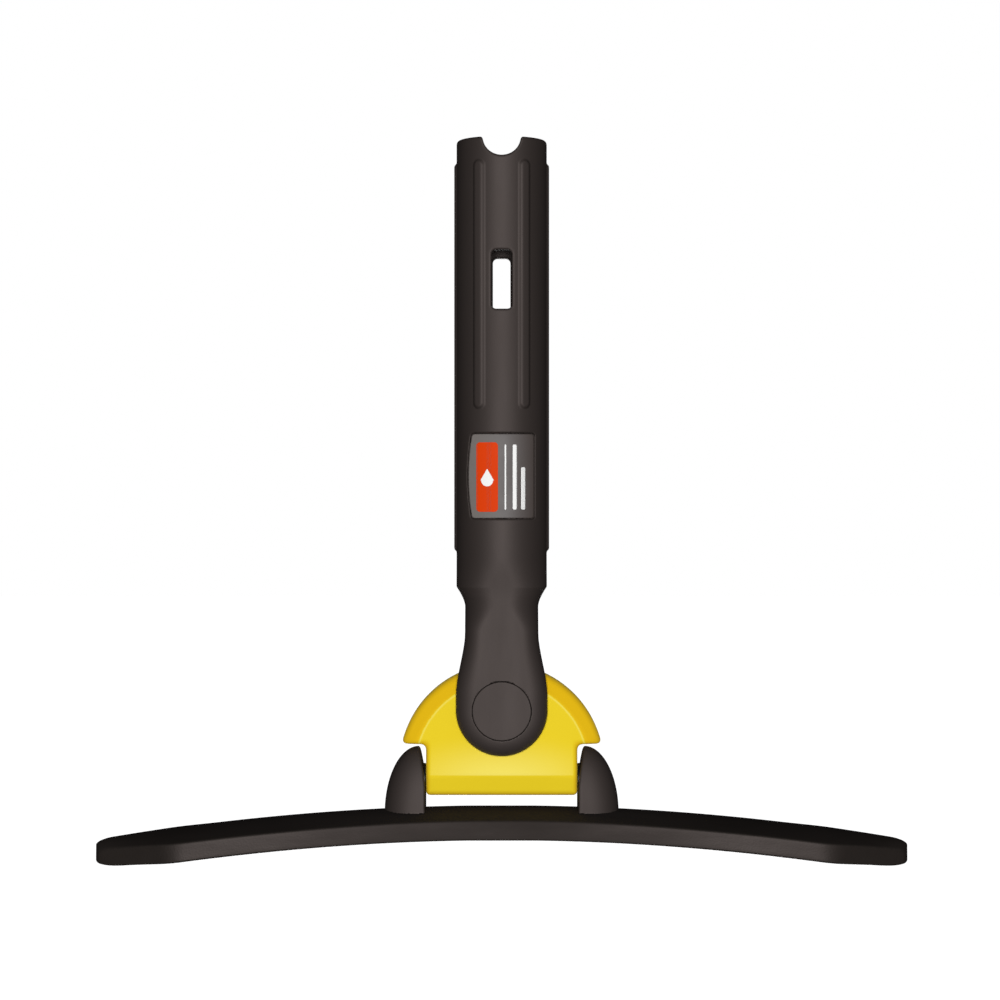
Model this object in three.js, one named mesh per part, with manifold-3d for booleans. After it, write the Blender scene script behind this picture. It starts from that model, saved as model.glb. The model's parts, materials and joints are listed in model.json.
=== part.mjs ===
// A flexible window-cleaning head on a quick-connect pole socket: the socket forks round a
// swivelling joint block, and the block carries a long bowed rubber bar on a tilting hinge.
// Units are millimetres, +Z is up, and the origin is the centre of the pole socket's mouth.
// The bar runs along X; the label faces -Y.
import * as THREE from "three";
import { mergeVertices } from "three/addons/utils/BufferGeometryUtils.js";
import Module from "manifold-3d";

const wasm = await Module();
wasm.setup();

// ---- Driving dimensions ------------------------------------------------------------------
const GAP = 0.3; // clearance left between pieces that touch
const ROUND_SIDES = 40; // sides of a large round
const PIN_SIDES = 24; // sides of pins, bores and screws

const BARREL_RADIUS = 16.1;
const BARREL_BOTTOM = -159.2;
const RIM_CHAMFER = 0.8;
const POLE_BORE_RADIUS = 12.8; // takes a 25.4 mm pole
const POLE_BORE_DEPTH = 98;
const CORE_RADIUS = 9.5; // lightening core below the shoulder that the pole stands on
const CORE_DEPTH = 150;
const BORE_MOUTH_CHAMFER = 0.7;
const RIM_NOTCH_RADIUS = 6.7;
const LOCK_SLOT = { width: 7, height: 20.7, top: -40.2, corner: 1.5 };
const RIB = { width: 4.2, crest: 16.95, root: 15.2, top: -8.3, bevel: 0.5 };
const SIDE_RIB_BOTTOM = -146.5;
const FACE_RIB_BOTTOM = -96;
const LABEL = { top: -104.7, bottom: -135, left: -10.7, right: 11.6, bulge: 1.3 };
const LABEL_CROWN = { radius: 24, floorY: -13, lift: 0.3, thickness: 0.6 };

const WAIST = { top: -148, bottom: -164, halfDepth: 14.8 }; // where the front and back draw in
const NECK_HALF_WIDTH = 13;
const NECK_TOP = -166.2;
const NECK_CORNER = { top: 11, crotch: 6 }; // rounding of the neck's section at two levels
const FLARE_TOP = -174.5;
const FLARE_BOTTOM = -198;
const KNUCKLE_RADIUS = 16.2;
const FORK_HALF_DEPTH = 16;
const FORK_EDGE = 5; // rounding of the fork's outer edges
const FORK_CROTCH = -175.7;
const CHEEK_INNER = 9; // half the width of the fork's gap
const SWIVEL_Z = -202.7;

const BOLT_RADIUS = 3;
const CAP = { radius: 10.25, outer: 15.9, inner: 14 };
const CAP_SEAT = { radius: 10.45, depthY: 13.8 };
const BOLT_HEAD = { radius: 5.6, inner: 11, outer: 13.5, seatRadius: 6, seatY: 10.8 };
const NUT_ACROSS_FLATS = 10;
const KEY_SOCKET = { acrossFlats: 4, depth: 1.6 };
const SWIVEL_BUSH = { inner: 3.25, outer: 5, flange: 8, flangeIn: 8.15, flangeOut: 8.85 };

const BLOCK_HALF_DEPTH = 8;
const DOME = { radius: 36.6, z: -223.4, bevel: 6, rimHalfDepth: 5 };
const OVERHANG_Z = -215.1;
const BLOCK_HALF_WIDTH = 26.9;
const BLOCK_BOTTOM = -233.4;
const BLOCK_CORNER = 1.8;
const TIP_CORNER = 1.3;
const FOOT_BEVEL_TOP = -226;
const FOOT_HALF_DEPTH = 5.6;

const TILT_Z = -228;
const HINGE_PIN = { radius: 2.5, halfLength: 36 };
const HINGE_BUSH = { inner: 2.75, outer: 3.6, reach: 13 };
const COLLAR = { radius: 5.7, inner: 27.1, outer: 28.1, seat: 28.4, seatRadius: 6.1 };

const EAR = { top: -216.2, halfDepth: 10.8, innerTop: 29.1, innerFoot: 27.2, roundness: 2.4 };
const EAR_LEAN = { start: -230, knee: { x: 27.8, z: -224.5 } }; // the inner face above its foot
const EAR_SWEEP = { x: 29.5, z: -240, halfWidth: 12.3, height: 23.8 };

const BAR_HALF_LENGTH = 145;
const BAR_HALF_DEPTH = 18;
const BAR_WALL = 6.6; // height of the long front and back faces
const BAR_CROWN = 3.2; // rise of the top from those faces to the ridge
const BAR_BOTTOM = -247.6; // underside at mid-length
const BAR_BOW = 5.8e-4; // fall of the bar towards its ends, per mm squared
const BAR_FLAT = 12; // half-length of the level underside at the centre
const BELLY = { middle: 0.4, wing: 0.8, full: 125, fade: [114, 138] }; // the underside's extra depth
const SHOULDER = { fall: 0.55, full: 85, fade: [112, 132], kept: 0.2 }; // extra fall of the faces' tops
const TIP_UNDER = { length: 11, rise: 3 }; // rounding of the underside into the tip
const TIP_TOP = { length: 6, fall: 1.9 }; // rounding of the top into the tip
const TAPER_START = 116;
const NOSE_RADIUS = 4;
const NOSE_TIP_HALF_DEPTH = 0.4;
const FLEX_STATIONS = [44, 69, 94, 119]; // where each wing bends

const STRIP = { halfWidth: 8, thickness: 1, depth: 5, end: 128 };
const SCREW = { x: 34.5, y: 5.5, radius: 1.5, headRadius: 3, headHeight: 2.2, top: -229.5 };

// ---- Materials ---------------------------------------------------------------------------
const plastic = (color) => new THREE.MeshStandardMaterial({ color, roughness: 0.5, metalness: 0 });
const metal = (color) => new THREE.MeshStandardMaterial({ color, roughness: 0.3, metalness: 1 });
const blackPlastic = plastic(0x453e3c);
const yellowPlastic = plastic(0xecd22e);
const blackAcetal = plastic(0x1c1a19);
const labelFilm = plastic(0x67625f);
const zincSteel = metal(0xb8bcc0);
const springSteel = metal(0x8e9296);
const blackRubber = new THREE.MeshStandardMaterial({ color: 0x1e1c1b, roughness: 0.8, metalness: 0 });

// ---- Geometry helpers --------------------------------------------------------------------
const AXES = {
  x: new THREE.Matrix4().makeBasis(
    new THREE.Vector3(0, 1, 0),
    new THREE.Vector3(0, 0, 1),
    new THREE.Vector3(1, 0, 0),
  ),
  y: new THREE.Matrix4().makeBasis(
    new THREE.Vector3(1, 0, 0),
    new THREE.Vector3(0, 0, 1),
    new THREE.Vector3(0, -1, 0),
  ),
  z: new THREE.Matrix4(),
};

// A closed geometry as a manifold solid.
function solid(geometry) {
  const bare = new THREE.BufferGeometry();
  bare.setAttribute("position", geometry.getAttribute("position"));
  bare.setIndex(geometry.index);
  const merged = mergeVertices(bare, 1e-4);
  return new wasm.Manifold(
    new wasm.Mesh({
      numProp: 3,
      vertProperties: merged.attributes.position.array,
      triVerts: new Uint32Array(merged.index.array),
    }),
  );
}

// A manifold solid as a named mesh, its frame moved so that the mesh sits in its parent group.
function mesh(name, shape, material, frame = new THREE.Vector3()) {
  const data = shape.getMesh();
  const geometry = new THREE.BufferGeometry();
  geometry.setAttribute("position", new THREE.BufferAttribute(new Float32Array(data.vertProperties), 3));
  geometry.setIndex(new THREE.BufferAttribute(new Uint32Array(data.triVerts), 1));
  geometry.translate(-frame.x, -frame.y, -frame.z);
  const flat = geometry.toNonIndexed();
  flat.computeVertexNormals();
  const made = new THREE.Mesh(flat, material);
  made.name = name;
  return made;
}

// An outline pushed along one axis, from one place on it to another. Along x the outline's
// own coordinates are (y, z), and along y they are (x, z).
function prism(shape, axis, from, to, curveSegments = 12) {
  const geometry = new THREE.ExtrudeGeometry(shape, {
    depth: to - from,
    bevelEnabled: false,
    curveSegments,
  });
  geometry.applyMatrix4(AXES[axis]);
  if (axis === "y") geometry.translate(0, to, 0);
  if (axis === "x") geometry.translate(from, 0, 0);
  if (axis === "z") geometry.translate(0, 0, from);
  return solid(geometry);
}

// A round bar along one axis, through the point (x, y, z) on the other two.
function rod(axis, radius, from, to, at = {}, sides = PIN_SIDES) {
  const geometry = new THREE.CylinderGeometry(radius, radius, to - from, sides);
  if (axis === "x") geometry.rotateZ(-Math.PI / 2);
  if (axis === "z") geometry.rotateX(Math.PI / 2);
  const middle = { x: 0, y: 0, z: 0, ...at, [axis]: (from + to) / 2 };
  geometry.translate(middle.x, middle.y, middle.z);
  return solid(geometry);
}

function box(width, depth, height, x, y, z) {
  return solid(new THREE.BoxGeometry(width, depth, height).translate(x, y, z));
}

// A solid through rings of points, each ring going round the same way, with flat ends.
function loft(rings) {
  const count = rings[0].length;
  const positions = [];
  const face = (a, b, c) => positions.push(...a.toArray(), ...b.toArray(), ...c.toArray());
  for (let i = 0; i + 1 < rings.length; i++) {
    for (let j = 0; j < count; j++) {
      const k = (j + 1) % count;
      face(rings[i][j], rings[i][k], rings[i + 1][k]);
      face(rings[i][j], rings[i + 1][k], rings[i + 1][j]);
    }
  }
  const first = rings[0];
  const last = rings[rings.length - 1];
  for (let j = 1; j + 1 < count; j++) {
    face(first[0], first[j + 1], first[j]);
    face(last[0], last[j], last[j + 1]);
  }
  const geometry = new THREE.BufferGeometry();
  geometry.setAttribute("position", new THREE.Float32BufferAttribute(positions, 3));
  return solid(geometry);
}

const blend = (a, b, t) => a + (b - a) * t;
const ease = (t) => t * t * (3 - 2 * t);

// ---- Pole socket and fork ----------------------------------------------------------------
const SECTION_CORNER_STEPS = 10;

// A level ring round the socket: a rectangle with its corners rounded, as far as a circle.
function sectionRing(halfWidth, halfDepth, rounding, z) {
  const corner = Math.min(rounding, halfWidth - 0.05, halfDepth - 0.05);
  const ring = [];
  for (let quarter = 0; quarter < 4; quarter++) {
    for (let step = 0; step <= SECTION_CORNER_STEPS; step++) {
      const angle = ((quarter + step / SECTION_CORNER_STEPS) * Math.PI) / 2;
      const sideX = quarter === 0 || quarter === 3 ? 1 : -1;
      const sideY = quarter < 2 ? 1 : -1;
      ring.push(
        new THREE.Vector3(
          sideX * (halfWidth - corner) + corner * Math.cos(angle),
          sideY * (halfDepth - corner) + corner * Math.sin(angle),
          z,
        ),
      );
    }
  }
  return ring;
}

// How far a place has come from one end to another, eased at both.
function progress(at, from, to) {
  return ease(Math.min(1, Math.max(0, (at - from) / (to - from))));
}

// Half the socket's width: the barrel's, cut in at its foot, then widened into the knuckle.
function socketHalfWidth(z) {
  const rise = Math.min(1, Math.max(0, (z - NECK_TOP) / (BARREL_BOTTOM - NECK_TOP)));
  const waisted = blend(NECK_HALF_WIDTH, BARREL_RADIUS, Math.pow(rise, 1.6));
  return blend(waisted, KNUCKLE_RADIUS, progress(z, FLARE_TOP, FLARE_BOTTOM));
}

function socketHalfDepth(z) {
  const waisted = blend(BARREL_RADIUS, WAIST.halfDepth, progress(z, WAIST.top, WAIST.bottom));
  return blend(waisted, FORK_HALF_DEPTH, progress(z, FLARE_TOP, FLARE_BOTTOM));
}

function socketRounding(z) {
  const neck = blend(BARREL_RADIUS, NECK_CORNER.top, progress(z, WAIST.top, NECK_TOP));
  const crotch = blend(neck, NECK_CORNER.crotch, progress(z, WAIST.bottom, FORK_CROTCH));
  return blend(crotch, FORK_EDGE, progress(z, FLARE_TOP, FLARE_BOTTOM));
}

// The barrel, its waist and the neck that squares up into the fork, down to the swivel axis.
function socketBody() {
  const levels = [];
  const climb = (from, to, steps) => {
    for (let i = 0; i < steps; i++) levels.push(blend(from, to, i / steps));
  };
  climb(SWIVEL_Z, NECK_TOP, 12);
  climb(NECK_TOP, BARREL_BOTTOM, 6);
  climb(BARREL_BOTTOM, WAIST.top, 4);
  levels.push(WAIST.top, -RIM_CHAMFER);
  const rings = levels.map((z) =>
    sectionRing(socketHalfWidth(z), socketHalfDepth(z), socketRounding(z), z),
  );
  const rim = BARREL_RADIUS - RIM_CHAMFER;
  rings.push(sectionRing(rim, rim, rim, 0));
  return loft(rings);
}

function knuckle() {
  const profile = [new THREE.Vector2(0, -FORK_HALF_DEPTH)];
  const steps = 4;
  for (const end of [-1, 1]) {
    for (let i = 0; i <= steps; i++) {
      const turn = ((end < 0 ? i : steps - i) / steps) * (Math.PI / 2);
      profile.push(
        new THREE.Vector2(
          KNUCKLE_RADIUS - FORK_EDGE + FORK_EDGE * Math.sin(turn),
          end * (FORK_HALF_DEPTH - FORK_EDGE + FORK_EDGE * Math.cos(turn)),
        ),
      );
    }
  }
  profile.push(new THREE.Vector2(0, FORK_HALF_DEPTH));
  return solid(new THREE.LatheGeometry(profile, ROUND_SIDES).translate(0, 0, SWIVEL_Z));
}

function roundedRectangle(left, right, bottom, top, corner) {
  const shape = new THREE.Shape();
  shape.moveTo(left + corner, bottom);
  shape.lineTo(right - corner, bottom);
  shape.absarc(right - corner, bottom + corner, corner, -Math.PI / 2, 0);
  shape.lineTo(right, top - corner);
  shape.absarc(right - corner, top - corner, corner, 0, Math.PI / 2);
  shape.lineTo(left + corner, top);
  shape.absarc(left + corner, top - corner, corner, Math.PI / 2, Math.PI);
  shape.lineTo(left, bottom + corner);
  shape.absarc(left + corner, bottom + corner, corner, Math.PI, 1.5 * Math.PI);
  return shape;
}

// A raised rib with round ends, standing off the barrel in the given direction.
function rib(bottom, direction) {
  const half = RIB.width / 2 - RIB.bevel;
  const outline = roundedRectangle(
    -half,
    half,
    bottom + RIB.bevel,
    RIB.top - RIB.bevel,
    half - 0.01,
  );
  const geometry = new THREE.ExtrudeGeometry(outline, {
    depth: RIB.crest - RIB.root - RIB.bevel,
    bevelThickness: RIB.bevel,
    bevelSize: RIB.bevel,
    bevelSegments: 1,
    curveSegments: 3,
  });
  geometry.applyMatrix4(AXES.y);
  geometry.translate(0, -RIB.root, 0);
  geometry.rotateZ(direction);
  return solid(geometry);
}

function labelOutline(inset) {
  const left = LABEL.left + inset;
  const right = LABEL.right - inset;
  const bottom = LABEL.bottom + inset;
  const top = LABEL.top - inset;
  const shape = new THREE.Shape();
  shape.moveTo(left, bottom);
  shape.lineTo(right, bottom);
  shape.lineTo(right, top);
  shape.lineTo(left, top);
  shape.quadraticCurveTo(left - 2 * LABEL.bulge, (top + bottom) / 2, left, bottom);
  return shape;
}

// The label's block of space in front of its crowned seat, between two distances above it.
function labelLayer(inset, from, to) {
  const { radius, floorY } = LABEL_CROWN;
  const crown = (lift) =>
    rod("z", radius + lift, LABEL.bottom - 5, LABEL.top + 5, { y: floorY + radius }, 72);
  const block = prism(labelOutline(inset), "y", floorY - 8, floorY + 8);
  return (to === undefined ? block : block.intersect(crown(to))).subtract(crown(from));
}

function handleSocket() {
  let body = socketBody().add(knuckle());
  for (let sixth = 0; sixth < 6; sixth++) {
    const direction = Math.PI / 6 + (sixth * Math.PI) / 3;
    const onSide = sixth % 3 === 1;
    body = body.add(rib(onSide ? SIDE_RIB_BOTTOM : FACE_RIB_BOTTOM, direction));
  }
  const slot = LOCK_SLOT;
  const slotOutline = roundedRectangle(
    -slot.width / 2,
    slot.width / 2,
    slot.top - slot.height,
    slot.top,
    slot.corner,
  );
  const mouth = new THREE.LatheGeometry(
    [
      new THREE.Vector2(0, -BORE_MOUTH_CHAMFER),
      new THREE.Vector2(POLE_BORE_RADIUS, -BORE_MOUTH_CHAMFER),
      new THREE.Vector2(POLE_BORE_RADIUS + 2 * BORE_MOUTH_CHAMFER, BORE_MOUTH_CHAMFER),
      new THREE.Vector2(0, BORE_MOUTH_CHAMFER),
    ],
    ROUND_SIDES,
  ).rotateX(Math.PI / 2);
  const cuts = [
    rod("z", POLE_BORE_RADIUS, -POLE_BORE_DEPTH, 5, {}, ROUND_SIDES),
    rod("z", CORE_RADIUS, -CORE_DEPTH, -POLE_BORE_DEPTH + 1, {}, ROUND_SIDES),
    solid(mouth),
    rod("y", RIM_NOTCH_RADIUS, -20, 20, {}, ROUND_SIDES),
    prism(slotOutline, "y", -20, 20, 5),
    labelLayer(0, 0),
    forkGap(),
    rod("y", BOLT_RADIUS + 0.25, -20, 20, { z: SWIVEL_Z }),
    rod("y", BOLT_HEAD.seatRadius, -20, -BOLT_HEAD.seatY, { z: SWIVEL_Z }),
    hexRod(NUT_ACROSS_FLATS + 0.5, BOLT_HEAD.seatY, 20),
    rod("y", CAP_SEAT.radius, -20, -CAP_SEAT.depthY, { z: SWIVEL_Z }, ROUND_SIDES),
    rod("y", CAP_SEAT.radius, CAP_SEAT.depthY, 20, { z: SWIVEL_Z }, ROUND_SIDES),
  ];
  return cuts.reduce((left, cut) => left.subtract(cut), body);
}

function forkGap() {
  const height = FORK_CROTCH - SWIVEL_Z + 20;
  return box(40, 2 * CHEEK_INNER, height, 0, 0, FORK_CROTCH - height / 2);
}

// ---- Swivel hardware, along Y through the fork -------------------------------------------
function hexRod(acrossFlats, from, to) {
  return rod("y", acrossFlats / Math.sqrt(3), from, to, { z: SWIVEL_Z }, 6);
}

function swivelBolt() {
  const head = rod("y", BOLT_HEAD.radius, -BOLT_HEAD.outer, -BOLT_HEAD.inner, { z: SWIVEL_Z });
  const shank = rod("y", BOLT_RADIUS, -BOLT_HEAD.inner - 0.5, BOLT_HEAD.outer, { z: SWIVEL_Z });
  const key = hexRod(KEY_SOCKET.acrossFlats, -20, -BOLT_HEAD.outer + KEY_SOCKET.depth);
  return head.add(shank).subtract(key);
}

function swivelNut() {
  const hole = rod("y", BOLT_RADIUS + 0.2, 0, 20, { z: SWIVEL_Z });
  return hexRod(NUT_ACROSS_FLATS, BOLT_HEAD.inner, BOLT_HEAD.outer).subtract(hole);
}

function swivelCap(side) {
  const span = [side * CAP.inner, side * CAP.outer].sort((a, b) => a - b);
  return rod("y", CAP.radius, span[0], span[1], { z: SWIVEL_Z }, ROUND_SIDES);
}

function swivelBush(side) {
  const along = (a, b) => [side * a, side * b].sort((p, q) => p - q);
  const at = { z: SWIVEL_Z };
  const sleeve = rod("y", SWIVEL_BUSH.outer, ...along(GAP / 2, SWIVEL_BUSH.flangeOut), at);
  const flange = rod("y", SWIVEL_BUSH.flange, ...along(SWIVEL_BUSH.flangeIn, SWIVEL_BUSH.flangeOut), at);
  return sleeve.add(flange).subtract(rod("y", SWIVEL_BUSH.inner, -20, 20, at));
}

// ---- Joint block -------------------------------------------------------------------------
function blockOutline() {
  const tipDistance = DOME.radius - TIP_CORNER;
  const tipZ = OVERHANG_Z + TIP_CORNER;
  const tipX = Math.sqrt(tipDistance ** 2 - (tipZ - DOME.z) ** 2);
  const domeStart = Math.atan2(tipZ - DOME.z, tipX);
  const side = BLOCK_HALF_WIDTH;
  const corner = BLOCK_CORNER;
  const shape = new THREE.Shape();
  shape.moveTo(-side + corner, BLOCK_BOTTOM);
  shape.lineTo(side - corner, BLOCK_BOTTOM);
  shape.absarc(side - corner, BLOCK_BOTTOM + corner, corner, -Math.PI / 2, 0);
  shape.lineTo(side, OVERHANG_Z - corner);
  shape.absarc(side + corner, OVERHANG_Z - corner, corner, Math.PI, Math.PI / 2, true);
  shape.lineTo(tipX, OVERHANG_Z);
  shape.absarc(tipX, tipZ, TIP_CORNER, -Math.PI / 2, domeStart);
  shape.absarc(0, DOME.z, DOME.radius, domeStart, Math.PI - domeStart);
  shape.absarc(-tipX, tipZ, TIP_CORNER, Math.PI - domeStart, 1.5 * Math.PI);
  shape.lineTo(-side - corner, OVERHANG_Z);
  shape.absarc(-side - corner, OVERHANG_Z - corner, corner, Math.PI / 2, 0, true);
  shape.lineTo(-side, BLOCK_BOTTOM + corner);
  shape.absarc(-side + corner, BLOCK_BOTTOM + corner, corner, Math.PI, 1.5 * Math.PI);
  return shape;
}

function jointBlock() {
  const outline = prism(blockOutline(), "y", -BLOCK_HALF_DEPTH, BLOCK_HALF_DEPTH, 16);
  const flatRadius = DOME.radius - DOME.bevel;
  const beyond = DOME.radius + 2;
  const edgeDepth = DOME.rimHalfDepth;
  const dish = new THREE.LatheGeometry(
    [
      new THREE.Vector2(0, -BLOCK_HALF_DEPTH - 1),
      new THREE.Vector2(flatRadius - 2, -BLOCK_HALF_DEPTH - 1),
      new THREE.Vector2(flatRadius, -BLOCK_HALF_DEPTH),
      new THREE.Vector2(beyond, -edgeDepth),
      new THREE.Vector2(beyond, edgeDepth),
      new THREE.Vector2(flatRadius, BLOCK_HALF_DEPTH),
      new THREE.Vector2(flatRadius - 2, BLOCK_HALF_DEPTH + 1),
      new THREE.Vector2(0, BLOCK_HALF_DEPTH + 1),
    ],
    72,
  ).translate(0, 0, DOME.z);
  const foot = new THREE.Shape([
    new THREE.Vector2(-FOOT_HALF_DEPTH, BLOCK_BOTTOM - 1),
    new THREE.Vector2(FOOT_HALF_DEPTH, BLOCK_BOTTOM - 1),
    new THREE.Vector2(BLOCK_HALF_DEPTH + 0.5, FOOT_BEVEL_TOP + 1),
    new THREE.Vector2(BLOCK_HALF_DEPTH + 0.5, -150),
    new THREE.Vector2(-BLOCK_HALF_DEPTH - 0.5, -150),
    new THREE.Vector2(-BLOCK_HALF_DEPTH - 0.5, FOOT_BEVEL_TOP + 1),
  ]);
  return outline
    .intersect(solid(dish))
    .intersect(prism(foot, "x", -50, 50))
    .subtract(rod("y", SWIVEL_BUSH.outer + 0.15, -20, 20, { z: SWIVEL_Z }))
    .subtract(rod("x", HINGE_BUSH.outer + 0.15, -50, 50, { z: TILT_Z }));
}

// ---- Tilt hinge, along X through the block -----------------------------------------------
function hingeBush(side) {
  const along = (a, b) => [side * a, side * b].sort((p, q) => p - q);
  const at = { z: TILT_Z };
  const start = BLOCK_HALF_WIDTH - HINGE_BUSH.reach;
  const sleeve = rod("x", HINGE_BUSH.outer, ...along(start, COLLAR.outer), at);
  const collar = rod("x", COLLAR.radius, ...along(COLLAR.inner, COLLAR.outer), at, ROUND_SIDES);
  return sleeve.add(collar).subtract(rod("x", HINGE_BUSH.inner, -50, 50, at));
}

function hingePin() {
  return rod("x", HINGE_PIN.radius, -HINGE_PIN.halfLength, HINGE_PIN.halfLength, { z: TILT_Z });
}

// Half an ear's depth, from shares of the way out and up to its outline in front view.
function earHalfDepth(out, up) {
  const share = Math.min(1, Math.hypot(out, up));
  return EAR.halfDepth * Math.pow(1 - Math.pow(share, EAR.roundness), 1 / EAR.roundness);
}

// A level ring round the right-hand ear, reaching in past its inner face.
function earRing(up, z) {
  const reach = Math.sqrt(1 - up * up);
  const steps = 8;
  const outline = [];
  for (let i = 0; i <= steps; i++) {
    const out = reach * Math.sin((i / steps) * (Math.PI / 2));
    outline.push([EAR_SWEEP.x + EAR_SWEEP.halfWidth * out, earHalfDepth(out, up)]);
  }
  outline.unshift([EAR.innerFoot - 2, outline[0][1]]);
  const back = outline.slice(0, -1).reverse();
  return [
    ...outline.map(([x, y]) => new THREE.Vector3(x, -y, z)),
    ...back.map(([x, y]) => new THREE.Vector3(x, y, z)),
  ];
}

// The right-hand ear: a fin, rounded on all sides but the flat inner one, which leans out
// above its foot.
function ear() {
  const rises = [0, 0.2, 0.38, 0.54, 0.67, 0.78, 0.87, 0.93, 0.97, 0.99];
  const rings = rises.map((up) => earRing(up, EAR_SWEEP.z + EAR_SWEEP.height * up));
  rings.unshift(earRing(0, BAR_BOTTOM));
  const front = new THREE.Shape();
  front.moveTo(EAR.innerFoot, BAR_BOTTOM - 1);
  front.lineTo(50, BAR_BOTTOM - 1);
  front.lineTo(50, EAR.top);
  front.lineTo(EAR.innerTop, EAR.top);
  front.lineTo(EAR_LEAN.knee.x, EAR_LEAN.knee.z);
  front.lineTo(EAR.innerFoot, EAR_LEAN.start);
  return loft(rings)
    .intersect(prism(front, "y", -20, 20))
    .subtract(rod("x", COLLAR.seatRadius, 20, COLLAR.seat, { z: TILT_Z }, ROUND_SIDES))
    .subtract(rod("x", HINGE_PIN.radius + 0.15, 20, HINGE_PIN.halfLength + GAP, { z: TILT_Z }));
}

// ---- Bar ---------------------------------------------------------------------------------
const noseCentre = BAR_HALF_LENGTH - NOSE_RADIUS;
const taperReach = Math.hypot(noseCentre - TAPER_START, BAR_HALF_DEPTH);
const taperAngle =
  Math.atan2(BAR_HALF_DEPTH, noseCentre - TAPER_START) - Math.asin(NOSE_RADIUS / taperReach);
const noseStart = noseCentre + NOSE_RADIUS * Math.sin(taperAngle);

// Half the bar's depth at a distance from its middle: parallel, then tapered to a round nose.
function barHalfDepth(x) {
  const out = Math.abs(x);
  if (out <= TAPER_START) return BAR_HALF_DEPTH;
  if (out <= noseStart) return BAR_HALF_DEPTH - Math.tan(taperAngle) * (out - TAPER_START);
  const along = Math.min(out - noseCentre, NOSE_RADIUS);
  return Math.max(Math.sqrt(NOSE_RADIUS ** 2 - along ** 2), NOSE_TIP_HALF_DEPTH);
}

const barFall = (x) => BAR_BOW * Math.max(0, x * x - BAR_FLAT * BAR_FLAT);
const ridgeZ = (x) => BAR_BOTTOM + BAR_WALL + BAR_CROWN - barFall(x);

function bellyDepth(x) {
  const out = Math.abs(x);
  const grown = blend(BELLY.middle, BELLY.wing, progress(out, BAR_FLAT, BELLY.full));
  return grown * (1 - progress(out, ...BELLY.fade));
}

function shoulderFall(x) {
  const out = Math.abs(x);
  const fallen = SHOULDER.fall * progress(out, 0, SHOULDER.full);
  return fallen - (SHOULDER.fall - SHOULDER.kept) * progress(out, ...SHOULDER.fade);
}

const undersideZ = (x) => BAR_BOTTOM - barFall(x) - bellyDepth(x);

// How far a rounding has gone at x: 0 where it starts, all of its amount at the very tip.
function tipRound(x, length, amount) {
  const along = Math.max(0, (Math.abs(x) - BAR_HALF_LENGTH + length) / length);
  return amount * (1 - Math.sqrt(1 - Math.min(along, 1) ** 2));
}

const CROWN_STEPS = 8;

// The bar's section at one place along it, raised by an amount and drawn in from its edges.
function barRing(x, lift = 0) {
  const half = barHalfDepth(x);
  const level = BAR_BOTTOM - barFall(x) + lift;
  const floor = undersideZ(x) + lift + tipRound(x, TIP_UNDER.length, TIP_UNDER.rise);
  const crown = BAR_CROWN + shoulderFall(x);
  const top = level - tipRound(x, TIP_TOP.length, TIP_TOP.fall);
  const ring = [new THREE.Vector3(x, -half, floor), new THREE.Vector3(x, half, floor)];
  for (let i = 0; i <= CROWN_STEPS; i++) {
    const across = 1 - (2 * i) / CROWN_STEPS;
    const rise = BAR_WALL + BAR_CROWN - crown * across * across;
    ring.push(new THREE.Vector3(x, across * half, top + rise));
  }
  return ring;
}

// Places along the bar where its section is drawn, from one distance to another.
function barStations(from, to) {
  const step = 8;
  const marks = [-TAPER_START, -BAR_FLAT, BAR_FLAT, TAPER_START];
  for (let turn = 0; turn <= 4; turn++) {
    const out = noseCentre + NOSE_RADIUS * Math.sin(blend(taperAngle, Math.PI / 2, turn / 4));
    marks.push(-out, out);
  }
  for (let x = -TAPER_START; x <= TAPER_START; x += step) {
    if (Math.abs(x) > BAR_FLAT + 2) marks.push(x);
  }
  const tipSteps = 3;
  for (let i = 0; i < tipSteps; i++) {
    const out = blend(BAR_HALF_LENGTH - TIP_UNDER.length, noseStart, i / tipSteps);
    marks.push(-out, out);
  }
  const inside = marks.filter((x) => x > from + 0.5 && x < to - 0.5);
  return [from, ...inside, to].sort((a, b) => a - b);
}

const barSlice = (from, to, lift) => loft(barStations(from, to).map((x) => barRing(x, lift)));

// The spring strip or the tunnel it lies in, following the bar's bow.
function stripSlice(from, to, margin) {
  const halfWidth = STRIP.halfWidth + margin;
  const halfHeight = STRIP.thickness / 2 + margin;
  const ring = (x) => {
    const middle = ridgeZ(x) - STRIP.depth;
    return [
      new THREE.Vector3(x, -halfWidth, middle - halfHeight),
      new THREE.Vector3(x, halfWidth, middle - halfHeight),
      new THREE.Vector3(x, halfWidth, middle + halfHeight),
      new THREE.Vector3(x, -halfWidth, middle + halfHeight),
    ];
  };
  return loft(barStations(from, to).map(ring));
}

const screwPlaces = [];
for (const side of [-1, 1]) {
  for (const depth of [-1, 1]) screwPlaces.push({ x: side * SCREW.x, y: depth * SCREW.y });
}

function screw(at) {
  const bottom = undersideZ(SCREW.x) + 0.4;
  const head = new THREE.LatheGeometry(
    [
      new THREE.Vector2(0, bottom),
      new THREE.Vector2(SCREW.headRadius, bottom),
      new THREE.Vector2(SCREW.radius, bottom + SCREW.headHeight),
      new THREE.Vector2(SCREW.radius, SCREW.top - 1.2),
      new THREE.Vector2(0, SCREW.top),
    ],
    PIN_SIDES,
  );
  head.rotateX(Math.PI / 2).translate(at.x, at.y, 0);
  const slotDepth = 1;
  const across = (width, depth) => box(width, depth, 2 * slotDepth, at.x, at.y, bottom);
  return solid(head).subtract(across(3.4, 0.8)).subtract(across(0.8, 3.4));
}

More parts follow.
